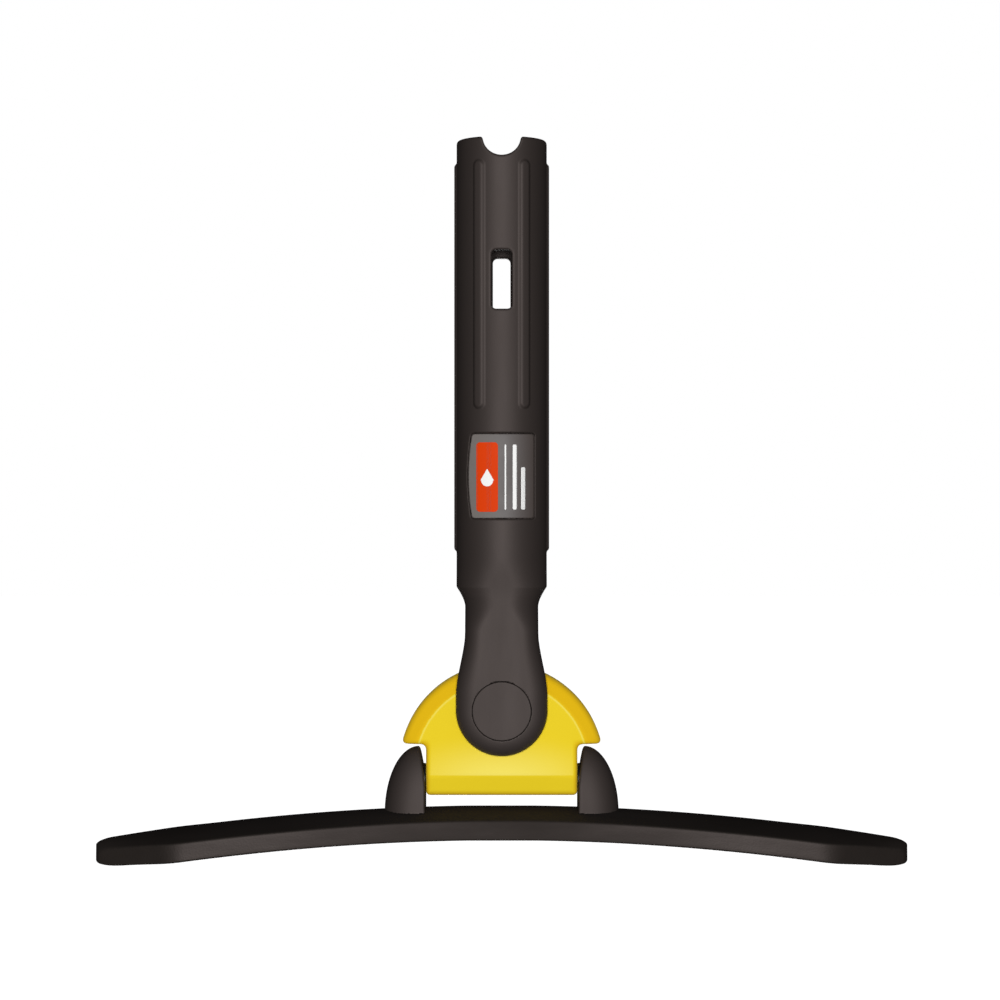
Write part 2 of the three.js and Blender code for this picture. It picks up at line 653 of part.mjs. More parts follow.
// The way a screw takes through the bar, the strip and up into the ear.
function screwWay(at) {
  const bottom = undersideZ(SCREW.x);
  const seat = new THREE.LatheGeometry(
    [
      new THREE.Vector2(0, bottom - 3),
      new THREE.Vector2(SCREW.headRadius + GAP, bottom - 3),
      new THREE.Vector2(SCREW.headRadius + GAP, bottom + 0.7),
      new THREE.Vector2(SCREW.radius + GAP, bottom + SCREW.headHeight + 0.7),
      new THREE.Vector2(SCREW.radius + GAP, SCREW.top + 0.5),
      new THREE.Vector2(0, SCREW.top + 0.5),
    ],
    PIN_SIDES,
  );
  return solid(seat.rotateX(Math.PI / 2).translate(at.x, at.y, 0));
}

// ---- Assembly: each group's own frame sits on the joint that moves it --------------------
const squeegee = new THREE.Group();
const block = new THREE.Group();
const bar = new THREE.Group();
const swivelAxis = new THREE.Vector3(0, 0, SWIVEL_Z);
const tiltAxis = new THREE.Vector3(0, 0, TILT_Z);
block.position.copy(swivelAxis);
bar.position.copy(tiltAxis).sub(swivelAxis);
squeegee.add(block);
block.add(bar);

const { lift, thickness } = LABEL_CROWN;
squeegee.add(
  mesh("handle_socket", handleSocket(), blackPlastic),
  mesh("label_plate", labelLayer(GAP, lift, lift + thickness), labelFilm),
  mesh("swivel_bolt", swivelBolt(), zincSteel),
  mesh("swivel_nut", swivelNut(), zincSteel),
  mesh("swivel_cap_front", swivelCap(-1), blackPlastic),
  mesh("swivel_cap_rear", swivelCap(1), blackPlastic),
);
block.add(
  mesh("joint_block", jointBlock(), yellowPlastic, swivelAxis),
  mesh("swivel_bush_front", swivelBush(-1), blackAcetal, swivelAxis),
  mesh("swivel_bush_rear", swivelBush(1), blackAcetal, swivelAxis),
  mesh("hinge_bush_left", hingeBush(-1), blackAcetal, swivelAxis),
  mesh("hinge_bush_right", hingeBush(1), blackAcetal, swivelAxis),
);

const cutScrewWays = (shape) => screwPlaces.reduce((left, at) => left.subtract(screwWay(at)), shape);
const firstJoint = FLEX_STATIONS[0] - GAP / 2;
const centreBlade = barSlice(-firstJoint, firstJoint);
const rightEar = cutScrewWays(ear().subtract(barSlice(-firstJoint, firstJoint, GAP)));
const mirrored = (shape) => shape.mirror([1, 0, 0]);
bar.add(
  mesh("hinge_pin", hingePin(), zincSteel, tiltAxis),
  mesh("ear_right", rightEar, blackPlastic, tiltAxis),
  mesh("ear_left", mirrored(rightEar), blackPlastic, tiltAxis),
  mesh(
    "blade_centre",
    cutScrewWays(centreBlade.subtract(stripSlice(-50, 50, GAP))),
    blackRubber,
    tiltAxis,
  ),
  mesh("spring_strip_centre", cutScrewWays(stripSlice(-firstJoint, firstJoint, 0)), springSteel, tiltAxis),
);
const screwNames = ["left_front", "left_rear", "right_front", "right_rear"].map((at) => `ear_screw_${at}`);
screwPlaces.forEach((at, i) => bar.add(mesh(screwNames[i], screw(at), zincSteel, tiltAxis)));

// Each wing is a chain of short slices, each hung from the one before at its top ridge.
for (const [wing, side] of [["left", -1], ["right", 1]]) {
  let parent = bar;
  let parentFrame = tiltAxis;
  FLEX_STATIONS.forEach((start, i) => {
    const isLast = i + 1 === FLEX_STATIONS.length;
    const from = start + GAP / 2;
    const to = isLast ? BAR_HALF_LENGTH : FLEX_STATIONS[i + 1] - GAP / 2;
    const stripEnd = isLast ? STRIP.end : to;
    const tunnelEnd = isLast ? STRIP.end + GAP : to + 5;
    let blade = barSlice(from, to).subtract(stripSlice(from - 5, tunnelEnd, GAP));
    let strip = stripSlice(from, stripEnd, 0);
    if (side < 0) {
      blade = mirrored(blade);
      strip = mirrored(strip);
    }
    const frame = new THREE.Vector3(side * start, 0, ridgeZ(start));
    const slice = new THREE.Group();
    slice.position.copy(frame).sub(parentFrame);
    slice.add(
      mesh(`blade_${wing}_${i + 1}`, blade, blackRubber, frame),
      mesh(`spring_strip_${wing}_${i + 1}`, strip, springSteel, frame),
    );
    parent.add(slice);
    parent = slice;
    parentFrame = frame;
  });
}

export default squeegee;
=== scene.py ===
"""Looks for the flexible window-cleaning head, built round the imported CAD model.

Each visible moulding is the zero surface of a distance field, so that its edges, fillets and
pockets are real geometry. Fields work in millimetres in the row's frame; meshes are in metres.
"""
import json
import math

import bmesh
import bpy
import numpy as np
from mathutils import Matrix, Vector


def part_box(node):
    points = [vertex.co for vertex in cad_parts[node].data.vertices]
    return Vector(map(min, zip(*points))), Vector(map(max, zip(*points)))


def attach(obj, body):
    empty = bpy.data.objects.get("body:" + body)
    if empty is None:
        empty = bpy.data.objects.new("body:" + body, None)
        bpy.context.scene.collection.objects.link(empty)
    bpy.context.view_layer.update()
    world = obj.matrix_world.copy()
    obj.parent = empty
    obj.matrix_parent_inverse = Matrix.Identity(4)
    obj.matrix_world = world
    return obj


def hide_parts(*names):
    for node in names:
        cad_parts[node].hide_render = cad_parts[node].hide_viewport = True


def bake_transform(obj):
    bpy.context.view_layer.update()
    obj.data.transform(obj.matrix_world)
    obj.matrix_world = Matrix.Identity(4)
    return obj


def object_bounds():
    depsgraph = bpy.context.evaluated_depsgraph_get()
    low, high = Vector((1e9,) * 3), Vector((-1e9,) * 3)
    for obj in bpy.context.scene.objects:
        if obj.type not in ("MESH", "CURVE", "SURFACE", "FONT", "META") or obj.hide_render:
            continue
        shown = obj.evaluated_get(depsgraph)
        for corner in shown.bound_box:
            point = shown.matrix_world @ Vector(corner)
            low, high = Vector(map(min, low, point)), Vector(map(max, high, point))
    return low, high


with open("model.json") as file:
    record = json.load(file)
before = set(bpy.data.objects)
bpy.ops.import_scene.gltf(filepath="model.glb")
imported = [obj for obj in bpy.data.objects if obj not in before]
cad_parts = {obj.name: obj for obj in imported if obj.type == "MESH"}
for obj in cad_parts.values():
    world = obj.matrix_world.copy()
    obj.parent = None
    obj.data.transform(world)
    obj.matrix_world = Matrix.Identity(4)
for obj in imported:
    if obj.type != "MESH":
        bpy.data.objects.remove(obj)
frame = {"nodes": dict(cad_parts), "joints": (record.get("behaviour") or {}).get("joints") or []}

cad_low, cad_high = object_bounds()

MM = 0.001
JOINTS = {joint["name"]: joint for joint in frame["joints"]}


def node_box(name):
    """A CAD node's lowest and highest corners in millimetres."""
    low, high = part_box(name)
    return np.array(low) / MM, np.array(high) / MM


# ---- Distance fields -----------------------------------------------------------------------
def soft_min(a, b, k):
    """The lesser of two fields, with a fillet of about k between them."""
    h = np.maximum(k - np.abs(a - b), 0) / k
    return np.minimum(a, b) - h * h * k / 4


def soft_max(a, b, k):
    return -soft_min(-a, -b, k)


def cut(body, hole, k):
    """A body with a hole taken out of it, its edge rounded by about k."""
    return soft_max(body, -hole, k)


def ease(t):
    t = np.clip(t, 0, 1)
    return t * t * (3 - 2 * t)


def mix(a, b, t):
    return a + (b - a) * t


def box_distance(u, v, half_u, half_v, corner):
    """Distance to a rectangle with round corners, centred on 0."""
    du = np.abs(u) - (half_u - corner)
    dv = np.abs(v) - (half_v - corner)
    outside = np.hypot(np.maximum(du, 0), np.maximum(dv, 0))
    return outside + np.minimum(np.maximum(du, dv), 0) - corner


def thickened(outline, across, half, edge):
    """An outline's distance pushed to a half thickness, its rims rounded by edge."""
    du = outline + edge
    dv = across - (half - edge)
    outside = np.hypot(np.maximum(du, 0), np.maximum(dv, 0))
    return outside + np.minimum(np.maximum(du, dv), 0) - edge


def gradient(field, points, step):
    slopes = np.empty_like(points)
    for axis in range(3):
        nudge = np.zeros(3)
        nudge[axis] = step
        slopes[:, axis] = (field(points + nudge) - field(points - nudge)) / (2 * step)
    return slopes


# ---- From a field to a mesh ----------------------------------------------------------------
BLOCK = 6  # cells along one side of a block that is sampled or skipped as a whole
CORNERS = [(i, j, k) for i in (0, 1) for j in (0, 1) for k in (0, 1)]


def sample_field(field, low, cell, blocks):
    """The field on a grid, worked out only in the blocks that its surface may pass through."""
    size = blocks * BLOCK + 1
    block_ids = np.stack(np.meshgrid(*[np.arange(n) for n in blocks], indexing="ij"), -1)
    block_ids = block_ids.reshape(-1, 3)
    middles = low + (block_ids + 0.5) * BLOCK * cell
    at_middle = field(middles)
    reach = BLOCK * cell * math.sqrt(3) / 2
    values = np.repeat(
        np.repeat(np.repeat(at_middle.reshape(blocks), BLOCK, 0), BLOCK, 1), BLOCK, 2
    )
    values = np.pad(values, ((0, 1), (0, 1), (0, 1)), mode="edge").astype(np.float32)
    near = block_ids[np.abs(at_middle) < 1.5 * reach]
    steps = np.stack(np.meshgrid(*[np.arange(BLOCK + 1)] * 3, indexing="ij"), -1).reshape(-1, 3)
    batch = 4000
    for start in range(0, len(near), batch):
        nodes = (near[start : start + batch, None, :] * BLOCK + steps[None]).reshape(-1, 3)
        flat = np.unique(np.ravel_multi_index(nodes.T, size))
        nodes = np.stack(np.unravel_index(flat, size), -1)
        values.ravel()[flat] = field(low + nodes * cell)
    return values


def surface_net(values, low, cell):
    """Vertices and quads of the grid's zero surface, one vertex to each cell that it crosses."""
    inside = values < 0
    shape = np.array(values.shape) - 1
    crossed = np.zeros(shape, bool)
    first = inside[:-1, :-1, :-1]
    for i, j, k in CORNERS[1:]:
        crossed |= inside[i : shape[0] + i, j : shape[1] + j, k : shape[2] + k] != first
    cells = np.stack(np.nonzero(crossed), -1)
    number = np.full(shape, -1, np.int64)
    number[tuple(cells.T)] = np.arange(len(cells))
    total = np.zeros((len(cells), 3))
    hits = np.zeros(len(cells))
    for corner in CORNERS:
        for axis in range(3):
            if corner[axis]:
                continue
            other = list(corner)
            other[axis] = 1
            a = values[tuple((cells + corner).T)]
            b = values[tuple((cells + other).T)]
            change = (a < 0) != (b < 0)
            share = np.where(change, a / np.where(change, a - b, 1), 0)
            place = np.tile(np.array(corner, float), (len(cells), 1))
            place[:, axis] += share
            total[change] += place[change]
            hits[change] += 1
    points = low + (cells + total / hits[:, None]) * cell
    quads = []
    for axis in range(3):
        u, v = (axis + 1) % 3, (axis + 2) % 3
        ahead = np.moveaxis(inside, axis, 0)
        change = np.moveaxis(ahead[:-1] != ahead[1:], 0, axis)
        edges = np.stack(np.nonzero(change), -1)
        edges = edges[(edges[:, u] > 0) & (edges[:, v] > 0)]
        edges = edges[(edges[:, u] < shape[u]) & (edges[:, v] < shape[v])]
        ring = []
        for back_u, back_v in ((1, 1), (0, 1), (0, 0), (1, 0)):
            cell_ids = edges.copy()
            cell_ids[:, u] -= back_u
            cell_ids[:, v] -= back_v
            ring.append(number[tuple(cell_ids.T)])
        ring = np.stack(ring, -1)
        outward = inside[tuple(edges.T)]
        ring[~outward] = ring[~outward][:, ::-1]
        quads.append(ring)
    return points, np.concatenate(quads)


def mesh_object(name, points, faces):
    """A mesh object from points in metres and faces of any one size."""
    mesh = bpy.data.meshes.new(name)
    sides = faces.shape[1]
    mesh.vertices.add(len(points))
    mesh.vertices.foreach_set("co", np.asarray(points, np.float32).ravel())
    mesh.loops.add(faces.size)
    mesh.loops.foreach_set("vertex_index", faces.astype(np.int32).ravel())
    mesh.polygons.add(len(faces))
    mesh.polygons.foreach_set("loop_start", np.arange(0, faces.size, sides, dtype=np.int32))
    mesh.update(calc_edges=True)
    mesh.validate()
    mesh.shade_smooth()
    made = bpy.data.objects.new(name, mesh)
    bpy.context.scene.collection.objects.link(made)
    return made


def apply_modifiers(piece):
    """Fixes a piece's modifiers into its mesh."""
    evaluated = piece.evaluated_get(bpy.context.evaluated_depsgraph_get())
    mesh = bpy.data.meshes.new_from_object(evaluated)
    piece.modifiers.clear()
    piece.data = mesh


CURVATURE_STEP = 0.7  # mm, over which an edge's roundness is felt


def moulded(name, field, low, high, cell, keep=0.35, painted_shading=None):
    """A piece whose skin is a field's zero surface, thinned to a share of its faces. Its normals
    come from the field, and its point attribute edge is high on outer edges and low in grooves.
    A shading function of the points fills a point attribute with painted light and shade: 1 is painted
    shade, deep in colour, and -1 is a pale painted highlight."""
    low = np.array(low, float) - 2.5 * cell
    blocks = np.ceil((np.array(high, float) + 2.5 * cell - low) / (BLOCK * cell)).astype(int)
    points, quads = surface_net(sample_field(field, low, cell, blocks), low, cell)

    def settle(p, rounds):
        for _ in range(rounds):
            slope = gradient(field, p, 0.02)
            push = field(p)[:, None] * slope / np.maximum((slope**2).sum(1), 0.2)[:, None]
            p = p - np.clip(push, -cell / 2, cell / 2)
        return p

    piece = mesh_object(name, settle(points, 3) * MM, quads)
    if keep < 1:
        thin = piece.modifiers.new("thin", "DECIMATE")
        thin.ratio = keep
        apply_modifiers(piece)
        piece.data.shade_smooth()
    count = len(piece.data.vertices)
    flat = np.empty(count * 3, np.float32)
    piece.data.vertices.foreach_get("co", flat)
    points = settle(flat.reshape(-1, 3).astype(float) / MM, 1)
    piece.data.vertices.foreach_set("co", (points * MM).astype(np.float32).ravel())
    slope = gradient(field, points, 0.05)
    normals = slope / np.maximum(np.linalg.norm(slope, axis=1), 1e-6)[:, None]
    around = sum(
        field(points + CURVATURE_STEP * np.array(way, float))
        for way in ((1, 0, 0), (-1, 0, 0), (0, 1, 0), (0, -1, 0), (0, 0, 1), (0, 0, -1))
    )
    edge = piece.data.attributes.new("edge", "FLOAT", "POINT")
    edge.data.foreach_set("value", (around / 6 / CURVATURE_STEP).astype(np.float32))
    # painted light and shade, carried by a point attribute
    if painted_shading:
        shade = piece.data.attributes.new("painted_shading", "FLOAT", "POINT")
        shade.data.foreach_set("value", painted_shading(points).astype(np.float32))
    piece.data.update()
    piece.data.normals_split_custom_set_from_vertices(normals.astype(np.float32))
    return piece


# ---- Materials -----------------------------------------------------------------------------
def scaled(colour, share):
    return tuple(min(c * share, 1) for c in colour)


class Nodes:
    """Short ways to add shader nodes to one material."""

    def __init__(self, name):
        self.material = bpy.data.materials.new(name)
        self.material.use_nodes = True
        self.tree = self.material.node_tree
        self.shader = self.tree.nodes["Principled BSDF"]
        self.place = self.add("ShaderNodeTexCoord").outputs["Object"]

    def add(self, kind, **settings):
        node = self.tree.nodes.new(kind)
        for key, value in settings.items():
            setattr(node, key, value)
        return node

    def link(self, out, into):
        self.tree.links.new(out, into)

    def noise(self, size, detail=3.0, roughness=0.5, stretch=(1, 1, 1)):
        """Noise whose lumps are about size metres across, longer where stretch is above 1."""
        mapping = self.add("ShaderNodeMapping")
        mapping.inputs["Scale"].default_value = [1 / s for s in stretch]
        self.link(self.place, mapping.inputs["Vector"])
        noise = self.add("ShaderNodeTexNoise")
        noise.inputs["Scale"].default_value = 1 / size
        noise.inputs["Detail"].default_value = detail
        noise.inputs["Roughness"].default_value = roughness
        self.link(mapping.outputs["Vector"], noise.inputs["Vector"])
        return noise.outputs["Fac"]

    def cells(self, size):
        """Distance to the nearest of many scattered points, about size metres apart."""
        cells = self.add("ShaderNodeTexVoronoi")
        cells.inputs["Scale"].default_value = 1 / size
        self.link(self.place, cells.inputs["Vector"])
        return cells.outputs["Distance"]

    def ramp(self, value, low, high, from_low=0.0, from_high=1.0):
        """A value carried from one range to another, held at the ends."""
        ranged = self.add("ShaderNodeMapRange")
        for key, number in (
            ("From Min", from_low),
            ("From Max", from_high),
            ("To Min", low),
            ("To Max", high),
        ):
            ranged.inputs[key].default_value = number
        self.link(value, ranged.inputs["Value"])
        return ranged.outputs["Result"]

    def add_up(self, a, b):
        total = self.add("ShaderNodeMath", operation="ADD")
        self.link(a, total.inputs[0])
        self.link(b, total.inputs[1])
        return total.outputs[0]

    def multiply(self, a, b):
        product = self.add("ShaderNodeMath", operation="MULTIPLY")
        self.link(a, product.inputs[0])
        self.link(b, product.inputs[1])
        return product.outputs[0]

    def attribute(self, name):
        return self.add("ShaderNodeAttribute", attribute_name=name).outputs["Fac"]

    def tint(self, below, above, share):
        """One colour going to another by a share from 0 to 1."""
        blend = self.add("ShaderNodeMix", data_type="RGBA")
        for socket, colour in ((6, below), (7, above)):
            if isinstance(colour, tuple):
                blend.inputs[socket].default_value = (*colour, 1)
            else:
                self.link(colour, blend.inputs[socket])
        self.link(share, blend.inputs[0])
        return blend.outputs[2]

    def bump(self, height, depth, strength=1.0, under=None):
        bump = self.add("ShaderNodeBump")
        bump.inputs["Distance"].default_value = depth
        bump.inputs["Strength"].default_value = strength
        self.link(height, bump.inputs["Height"])
        if under is not None:
            self.link(under, bump.inputs["Normal"])
        return bump.outputs["Normal"]

    def finish(self, colour, roughness, normal, **fixed):
        self.link(colour, self.shader.inputs["Base Color"])
        self.link(roughness, self.shader.inputs["Roughness"])
        self.link(normal, self.shader.inputs["Normal"])
        for key, value in fixed.items():
            self.shader.inputs[key.replace("_", " ")].default_value = value
        return self.material


def moulded_plastic(
    name, colour, worn, rough, grain, specular, sheen_tint, shade_and_highlight_colours=None, bloom=0.0
):
    """Injection-moulded plastic: spark-eroded grain, faint flow marks, edges rubbed smoother.
    The shade and highlight colours are the painted-shade and the painted-highlight colour that the
    point attribute of painted light and shade leads to; bloom is how much its turned edges catch the
    light."""
    n = Nodes(name)
    cloud = n.noise(0.03, 4)
    base = n.tint(scaled(colour, 0.96), scaled(colour, 1.04), cloud)
    # painted shade and painted highlight, led by the point attribute of painted light and shade
    if shade_and_highlight_colours:
        painted_shading = n.attribute("painted_shading")
        base = n.tint(base, shade_and_highlight_colours[0], n.ramp(painted_shading, 0, 1))
        base = n.tint(base, shade_and_highlight_colours[1], n.ramp(painted_shading, 0, 1, 0, -1))
    edge = n.ramp(n.attribute("edge"), 0, 1, 0.12, 0.5)
    rubbed = n.multiply(edge, n.ramp(n.noise(0.004, 5, 0.65), 0.1, 0.7, 0.35, 0.7))
    base = n.tint(base, worn, rubbed)
    flow = n.noise(0.012, 4, 0.55, (1, 1, 5))
    gloss = n.add_up(n.ramp(flow, rough - 0.03, rough + 0.035, 0.3, 0.7), n.ramp(edge, 0, -0.1))
    pits = n.bump(n.noise(0.0005, 2, 0.6), grain)
    normal = n.bump(n.noise(0.006, 2), 4e-5, 1, pits)
    return n.finish(
        base,
        gloss,
        normal,
        Specular_IOR_Level=specular,
        Specular_Tint=(*sheen_tint, 1),
        Sheen_Weight=bloom,
        Sheen_Tint=(*sheen_tint, 1),
    )


def rubber(name, colour, dusty, sheen_tint):
    """Matt moulded rubber: fine pores, pale dust and rubbing on its edges, duller at mid-length
    and, where the point attribute top marks its upper side, duller and darkened by painted shade."""
    n = Nodes(name)
    base = n.tint(scaled(colour, 0.85), scaled(colour, 1.15), n.noise(0.02, 5))
    edge = n.ramp(n.attribute("edge"), 0, 0.6, 0.1, 0.5)
    rubbed = n.multiply(edge, n.ramp(n.noise(0.003, 6, 0.7), 0.0, 1.0, 0.4, 0.7))
    base = n.tint(base, dusty, rubbed)
    top = n.attribute("top")
    # painted shade: the upper side, which the attribute top marks, is darkened to 35% of the colour
    base = n.tint(base, scaled(colour, 0.35), n.ramp(top, 0, 0.9))
    split = n.add("ShaderNodeSeparateXYZ")
    n.link(n.place, split.inputs["Vector"])
    out = n.add("ShaderNodeMath", operation="ABSOLUTE")
    n.link(split.outputs["X"], out.inputs[0])
    gloss = n.ramp(n.noise(0.01, 5, 0.6, (4, 1, 1)), 0.52, 0.62, 0.3, 0.7)
    gloss = n.add_up(gloss, n.ramp(out.outputs[0], 0.17, 0, 0.015, 0.08))
    gloss = n.add_up(gloss, n.ramp(top, 0, 0.15))
    pores = n.bump(n.cells(0.0007), 2.5e-5)
    normal = n.bump(n.noise(0.009, 3), 6e-5, 1, pores)
    return n.finish(
        base, gloss, normal, Specular_IOR_Level=0.4, Specular_Tint=(*sheen_tint, 1)
    )


def steel(name, colour, rough, grain_way):
    """Drawn or plated steel: fine scratches along one way and clouded plating."""
    n = Nodes(name)
    base = n.tint(scaled(colour, 0.8), colour, n.noise(0.004, 4))
    scratch = n.noise(0.0004, 4, 0.7, grain_way)
    gloss = n.ramp(scratch, rough - 0.08, rough + 0.12, 0.3, 0.7)
    return n.finish(base, gloss, n.bump(scratch, 8e-6), Metallic=1.0)


def print_ink(name, colour, rough, specular):
    """Printed ink, slightly uneven under a satin varnish."""
    n = Nodes(name)
    base = n.tint(scaled(colour, 0.94), colour, n.noise(0.0006, 3))
    gloss = n.ramp(n.noise(0.008, 3), rough - 0.04, rough + 0.05, 0.3, 0.7)
    return n.finish(base, gloss, n.bump(n.noise(0.0015, 2), 1.2e-5), Specular_IOR_Level=specular)


def label_film(name, left, middle, right):
    """Satin film whose grey darkens from its left edge to its right one: a painted reflection falling
    off across the plate.
    """
    n = Nodes(name)
    split = n.add("ShaderNodeSeparateXYZ")
    n.link(n.place, split.inputs["Vector"])
    across = split.outputs["X"]
    base = n.tint(left, middle, n.ramp(across, 0, 1, -0.0118, 0.001))
    base = n.tint(base, right, n.ramp(across, 0, 1, 0.001, 0.0115))
    grain = n.noise(0.0008, 3)
    base = n.tint(base, right, n.ramp(grain, 0, 0.12, 0.45, 0.8))
    gloss = n.ramp(n.noise(0.01, 3), 0.52, 0.62, 0.3, 0.7)
    return n.finish(base, gloss, n.bump(grain, 8e-6), Specular_IOR_Level=0.35)


CHARCOAL = (0.026, 0.0205, 0.0187)
BAR_BLACK = (0.012, 0.0095, 0.008)
BROWN_SHEEN = (1, 0.85, 0.81)
YELLOW = (0.75, 0.56, 0.016)
# the yellow's painted-shade colour and painted-highlight colour
SHADED_YELLOW = (0.74, 0.455, 0.006)
HIGHLIT_YELLOW = (0.82, 0.69, 0.12)
YELLOW_SHEEN = (1, 0.85, 0.2)

black_plastic = moulded_plastic(
    "black plastic", CHARCOAL, (0.045, 0.038, 0.035), 0.63, 2e-5, 0.44, BROWN_SHEEN
)
yellow_plastic = moulded_plastic(
    "yellow plastic",
    YELLOW,
    (0.78, 0.58, 0.02),
    0.58,
    8e-6,
    0.2,
    YELLOW_SHEEN,
    # painted shade and painted highlight colours
    (SHADED_YELLOW, HIGHLIT_YELLOW),
    0.3,
)
acetal = moulded_plastic(
    "black acetal", (0.006, 0.0055, 0.005), (0.012, 0.012, 0.012), 0.4, 5e-6, 0.3, (1, 1, 1)
)
bar_rubber = rubber("bar rubber", BAR_BLACK, (0.03, 0.025, 0.022), BROWN_SHEEN)
zinc = steel("zinc plated steel", (0.45, 0.45, 0.44), 0.42, (1, 1, 12))
strip_steel = steel("spring steel", (0.3, 0.31, 0.33), 0.32, (20, 1, 1))
# its grey darkens from left to right as a painted reflection
label_grey = label_film(
    "label grey", (0.163, 0.146, 0.135), (0.1, 0.088, 0.086), (0.05, 0.038, 0.034)
)
label_orange = print_ink("label orange", (0.66, 0.045, 0.001), 0.6, 0.06)
label_white = print_ink("label white", (0.84, 0.84, 0.83), 0.5, 0.2)


def place(piece, body, slot, material, *nodes):
    """Gives a piece its material, and lets it ride on a body and stand for CAD nodes."""
    piece.data.materials.clear()
    piece.data.materials.append(material)
    if body:
        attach(piece, body)
    if nodes:
        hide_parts(*nodes)
    return piece


# ---- Pole socket and fork ------------------------------------------------------------------
socket_low, socket_high = node_box("handle_socket")
SWIVEL_Z = JOINTS["swivel"]["pos_m"][2] / MM
TILT_Z = JOINTS["tilt"]["pos_m"][2] / MM

BARREL_RADIUS = 16.1
BARREL_BOTTOM = -159.2
BORE_RADIUS = 12.8
BORE_DEPTH = 98
CORE_RADIUS = 9.5
CORE_DEPTH = 150
NOTCH_RADIUS = 6.7
SLOT = {"half_width": 3.55, "half_height": 10.35, "middle": -50.55, "corner": 1.6}
SLOT_DRAFT = 0.012  # how much the slot narrows on each side per mm from front to back
RIB_HALF_WIDTH = 2.1
RIB_CREST = socket_high[0]
RIB_TOP = -8.3
SIDE_RIB_BOTTOM = -146.5
FACE_RIB_BOTTOM = -96
WAIST_TOP = -148.0
WAIST_BOTTOM = -164.0
WAIST_HALF_DEPTH = 14.8
NECK_HALF_WIDTH = 13.0
NECK_TOP = -166.2
NECK_ROUNDING = 11.0
CROTCH_ROUNDING = 6.0
FLARE_TOP = -174.5
FLARE_BOTTOM = -198.0
KNUCKLE_RADIUS = SWIVEL_Z - socket_low[2]
FORK_HALF_DEPTH = 16.0
FORK_EDGE = 5.0
FORK_EDGE_SPREAD = 1.4  # how much wider than deep the rounding of the fork's face is
FORK_CROTCH = -175.7
CHEEK_INNER = 9.0
CAP_SEAT_RADIUS = 10.45
CAP_SEAT_FLOOR = 13.8
HEAD_SEAT_RADIUS = 6.0
HEAD_SEAT_FLOOR = 10.8
BOLT_WAY_RADIUS = 3.25
NUT_ACROSS_FLATS = 10.5

label_low, label_high = node_box("label_plate")
LABEL_GAP = 0.3
LABEL_MIDDLE = (label_low[2] + label_high[2]) / 2
LABEL_HALF_HEIGHT = (label_high[2] - label_low[2]) / 2
LABEL_RIGHT = label_high[0]
LABEL_LEFT = -10.4
LABEL_BULGE = LABEL_LEFT - label_low[0]
CROWN_RADIUS = 24.0
SEAT_FLOOR_Y = -13.0
PLATE_LIFT = 0.3
PLATE_THICKNESS = 0.6


def descent(z, top, bottom):
    return ease((top - z) / (top - bottom))


def socket_body(x, y, z):
    """The barrel, waist, neck and fork as one skin whose section goes from round to squared."""
    rise = np.clip((z - NECK_TOP) / (BARREL_BOTTOM - NECK_TOP), 0, 1)
    flare = descent(z, FLARE_TOP, FLARE_BOTTOM)
    waist = mix(NECK_HALF_WIDTH, BARREL_RADIUS, rise**1.6)
    half_width = mix(waist, KNUCKLE_RADIUS, flare)
    drawn_in = mix(BARREL_RADIUS, WAIST_HALF_DEPTH, descent(z, WAIST_TOP, WAIST_BOTTOM))
    half_depth = mix(drawn_in, FORK_HALF_DEPTH, flare)
    fullest = np.minimum(half_width, half_depth)
    rounding = mix(fullest, NECK_ROUNDING, descent(z, WAIST_TOP, NECK_TOP))
    rounding = mix(rounding, CROTCH_ROUNDING, descent(z, WAIST_BOTTOM, FORK_CROTCH))
    rounding = np.minimum(mix(rounding, FORK_EDGE, flare), fullest)
    spread = mix(1.0, FORK_EDGE_SPREAD, flare)
    round_end = np.hypot(x, z - SWIVEL_Z) - KNUCKLE_RADIUS
    outline = np.where(z > SWIVEL_Z, np.abs(x) - half_width, round_end) / spread
    return soft_max(thickened(outline, np.abs(y), half_depth, rounding), z, 1.6)


def ribs(x, y, radius, z):
    """Six long ribs with round ends, the two on the sides longer than those on the faces."""
    sixth = math.pi / 3
    angle = np.arctan2(y, x)
    nearest = np.round(angle / sixth)
    along = radius * (angle - nearest * sixth)
    on_side = np.abs(x) > 0.87 * radius
    bottom = np.where(on_side, SIDE_RIB_BOTTOM, FACE_RIB_BOTTOM)
    beyond = np.maximum(np.maximum(z - (RIB_TOP - RIB_HALF_WIDTH), bottom + RIB_HALF_WIDTH - z), 0)
    return soft_max(np.hypot(along, beyond) - RIB_HALF_WIDTH, radius - RIB_CREST, 1.3)


def label_outline(x, z, margin=0.0, corner=1.0):
    """The label plate's front outline: straight on the right and bowed out on the left."""
    half_height = LABEL_HALF_HEIGHT + margin
    up = z - LABEL_MIDDLE
    bulge = LABEL_BULGE * (1 - (up / half_height) ** 2)
    beside = np.maximum(x - LABEL_RIGHT - margin, LABEL_LEFT - margin - bulge - x)
    above = np.abs(up) - half_height
    du, dv = beside + corner, above + corner
    outside = np.hypot(np.maximum(du, 0), np.maximum(dv, 0))
    return outside + np.minimum(np.maximum(du, dv), 0) - corner


def above_seat(x, y):
    """Height above the label seat's crowned floor."""
    return np.hypot(x, y - SEAT_FLOOR_Y - CROWN_RADIUS) - CROWN_RADIUS


def hexagon(u, v, across_flats):
    return np.maximum(
        np.abs(v), np.maximum(np.abs(0.866 * u + 0.5 * v), np.abs(0.866 * u - 0.5 * v))
    ) - across_flats / 2


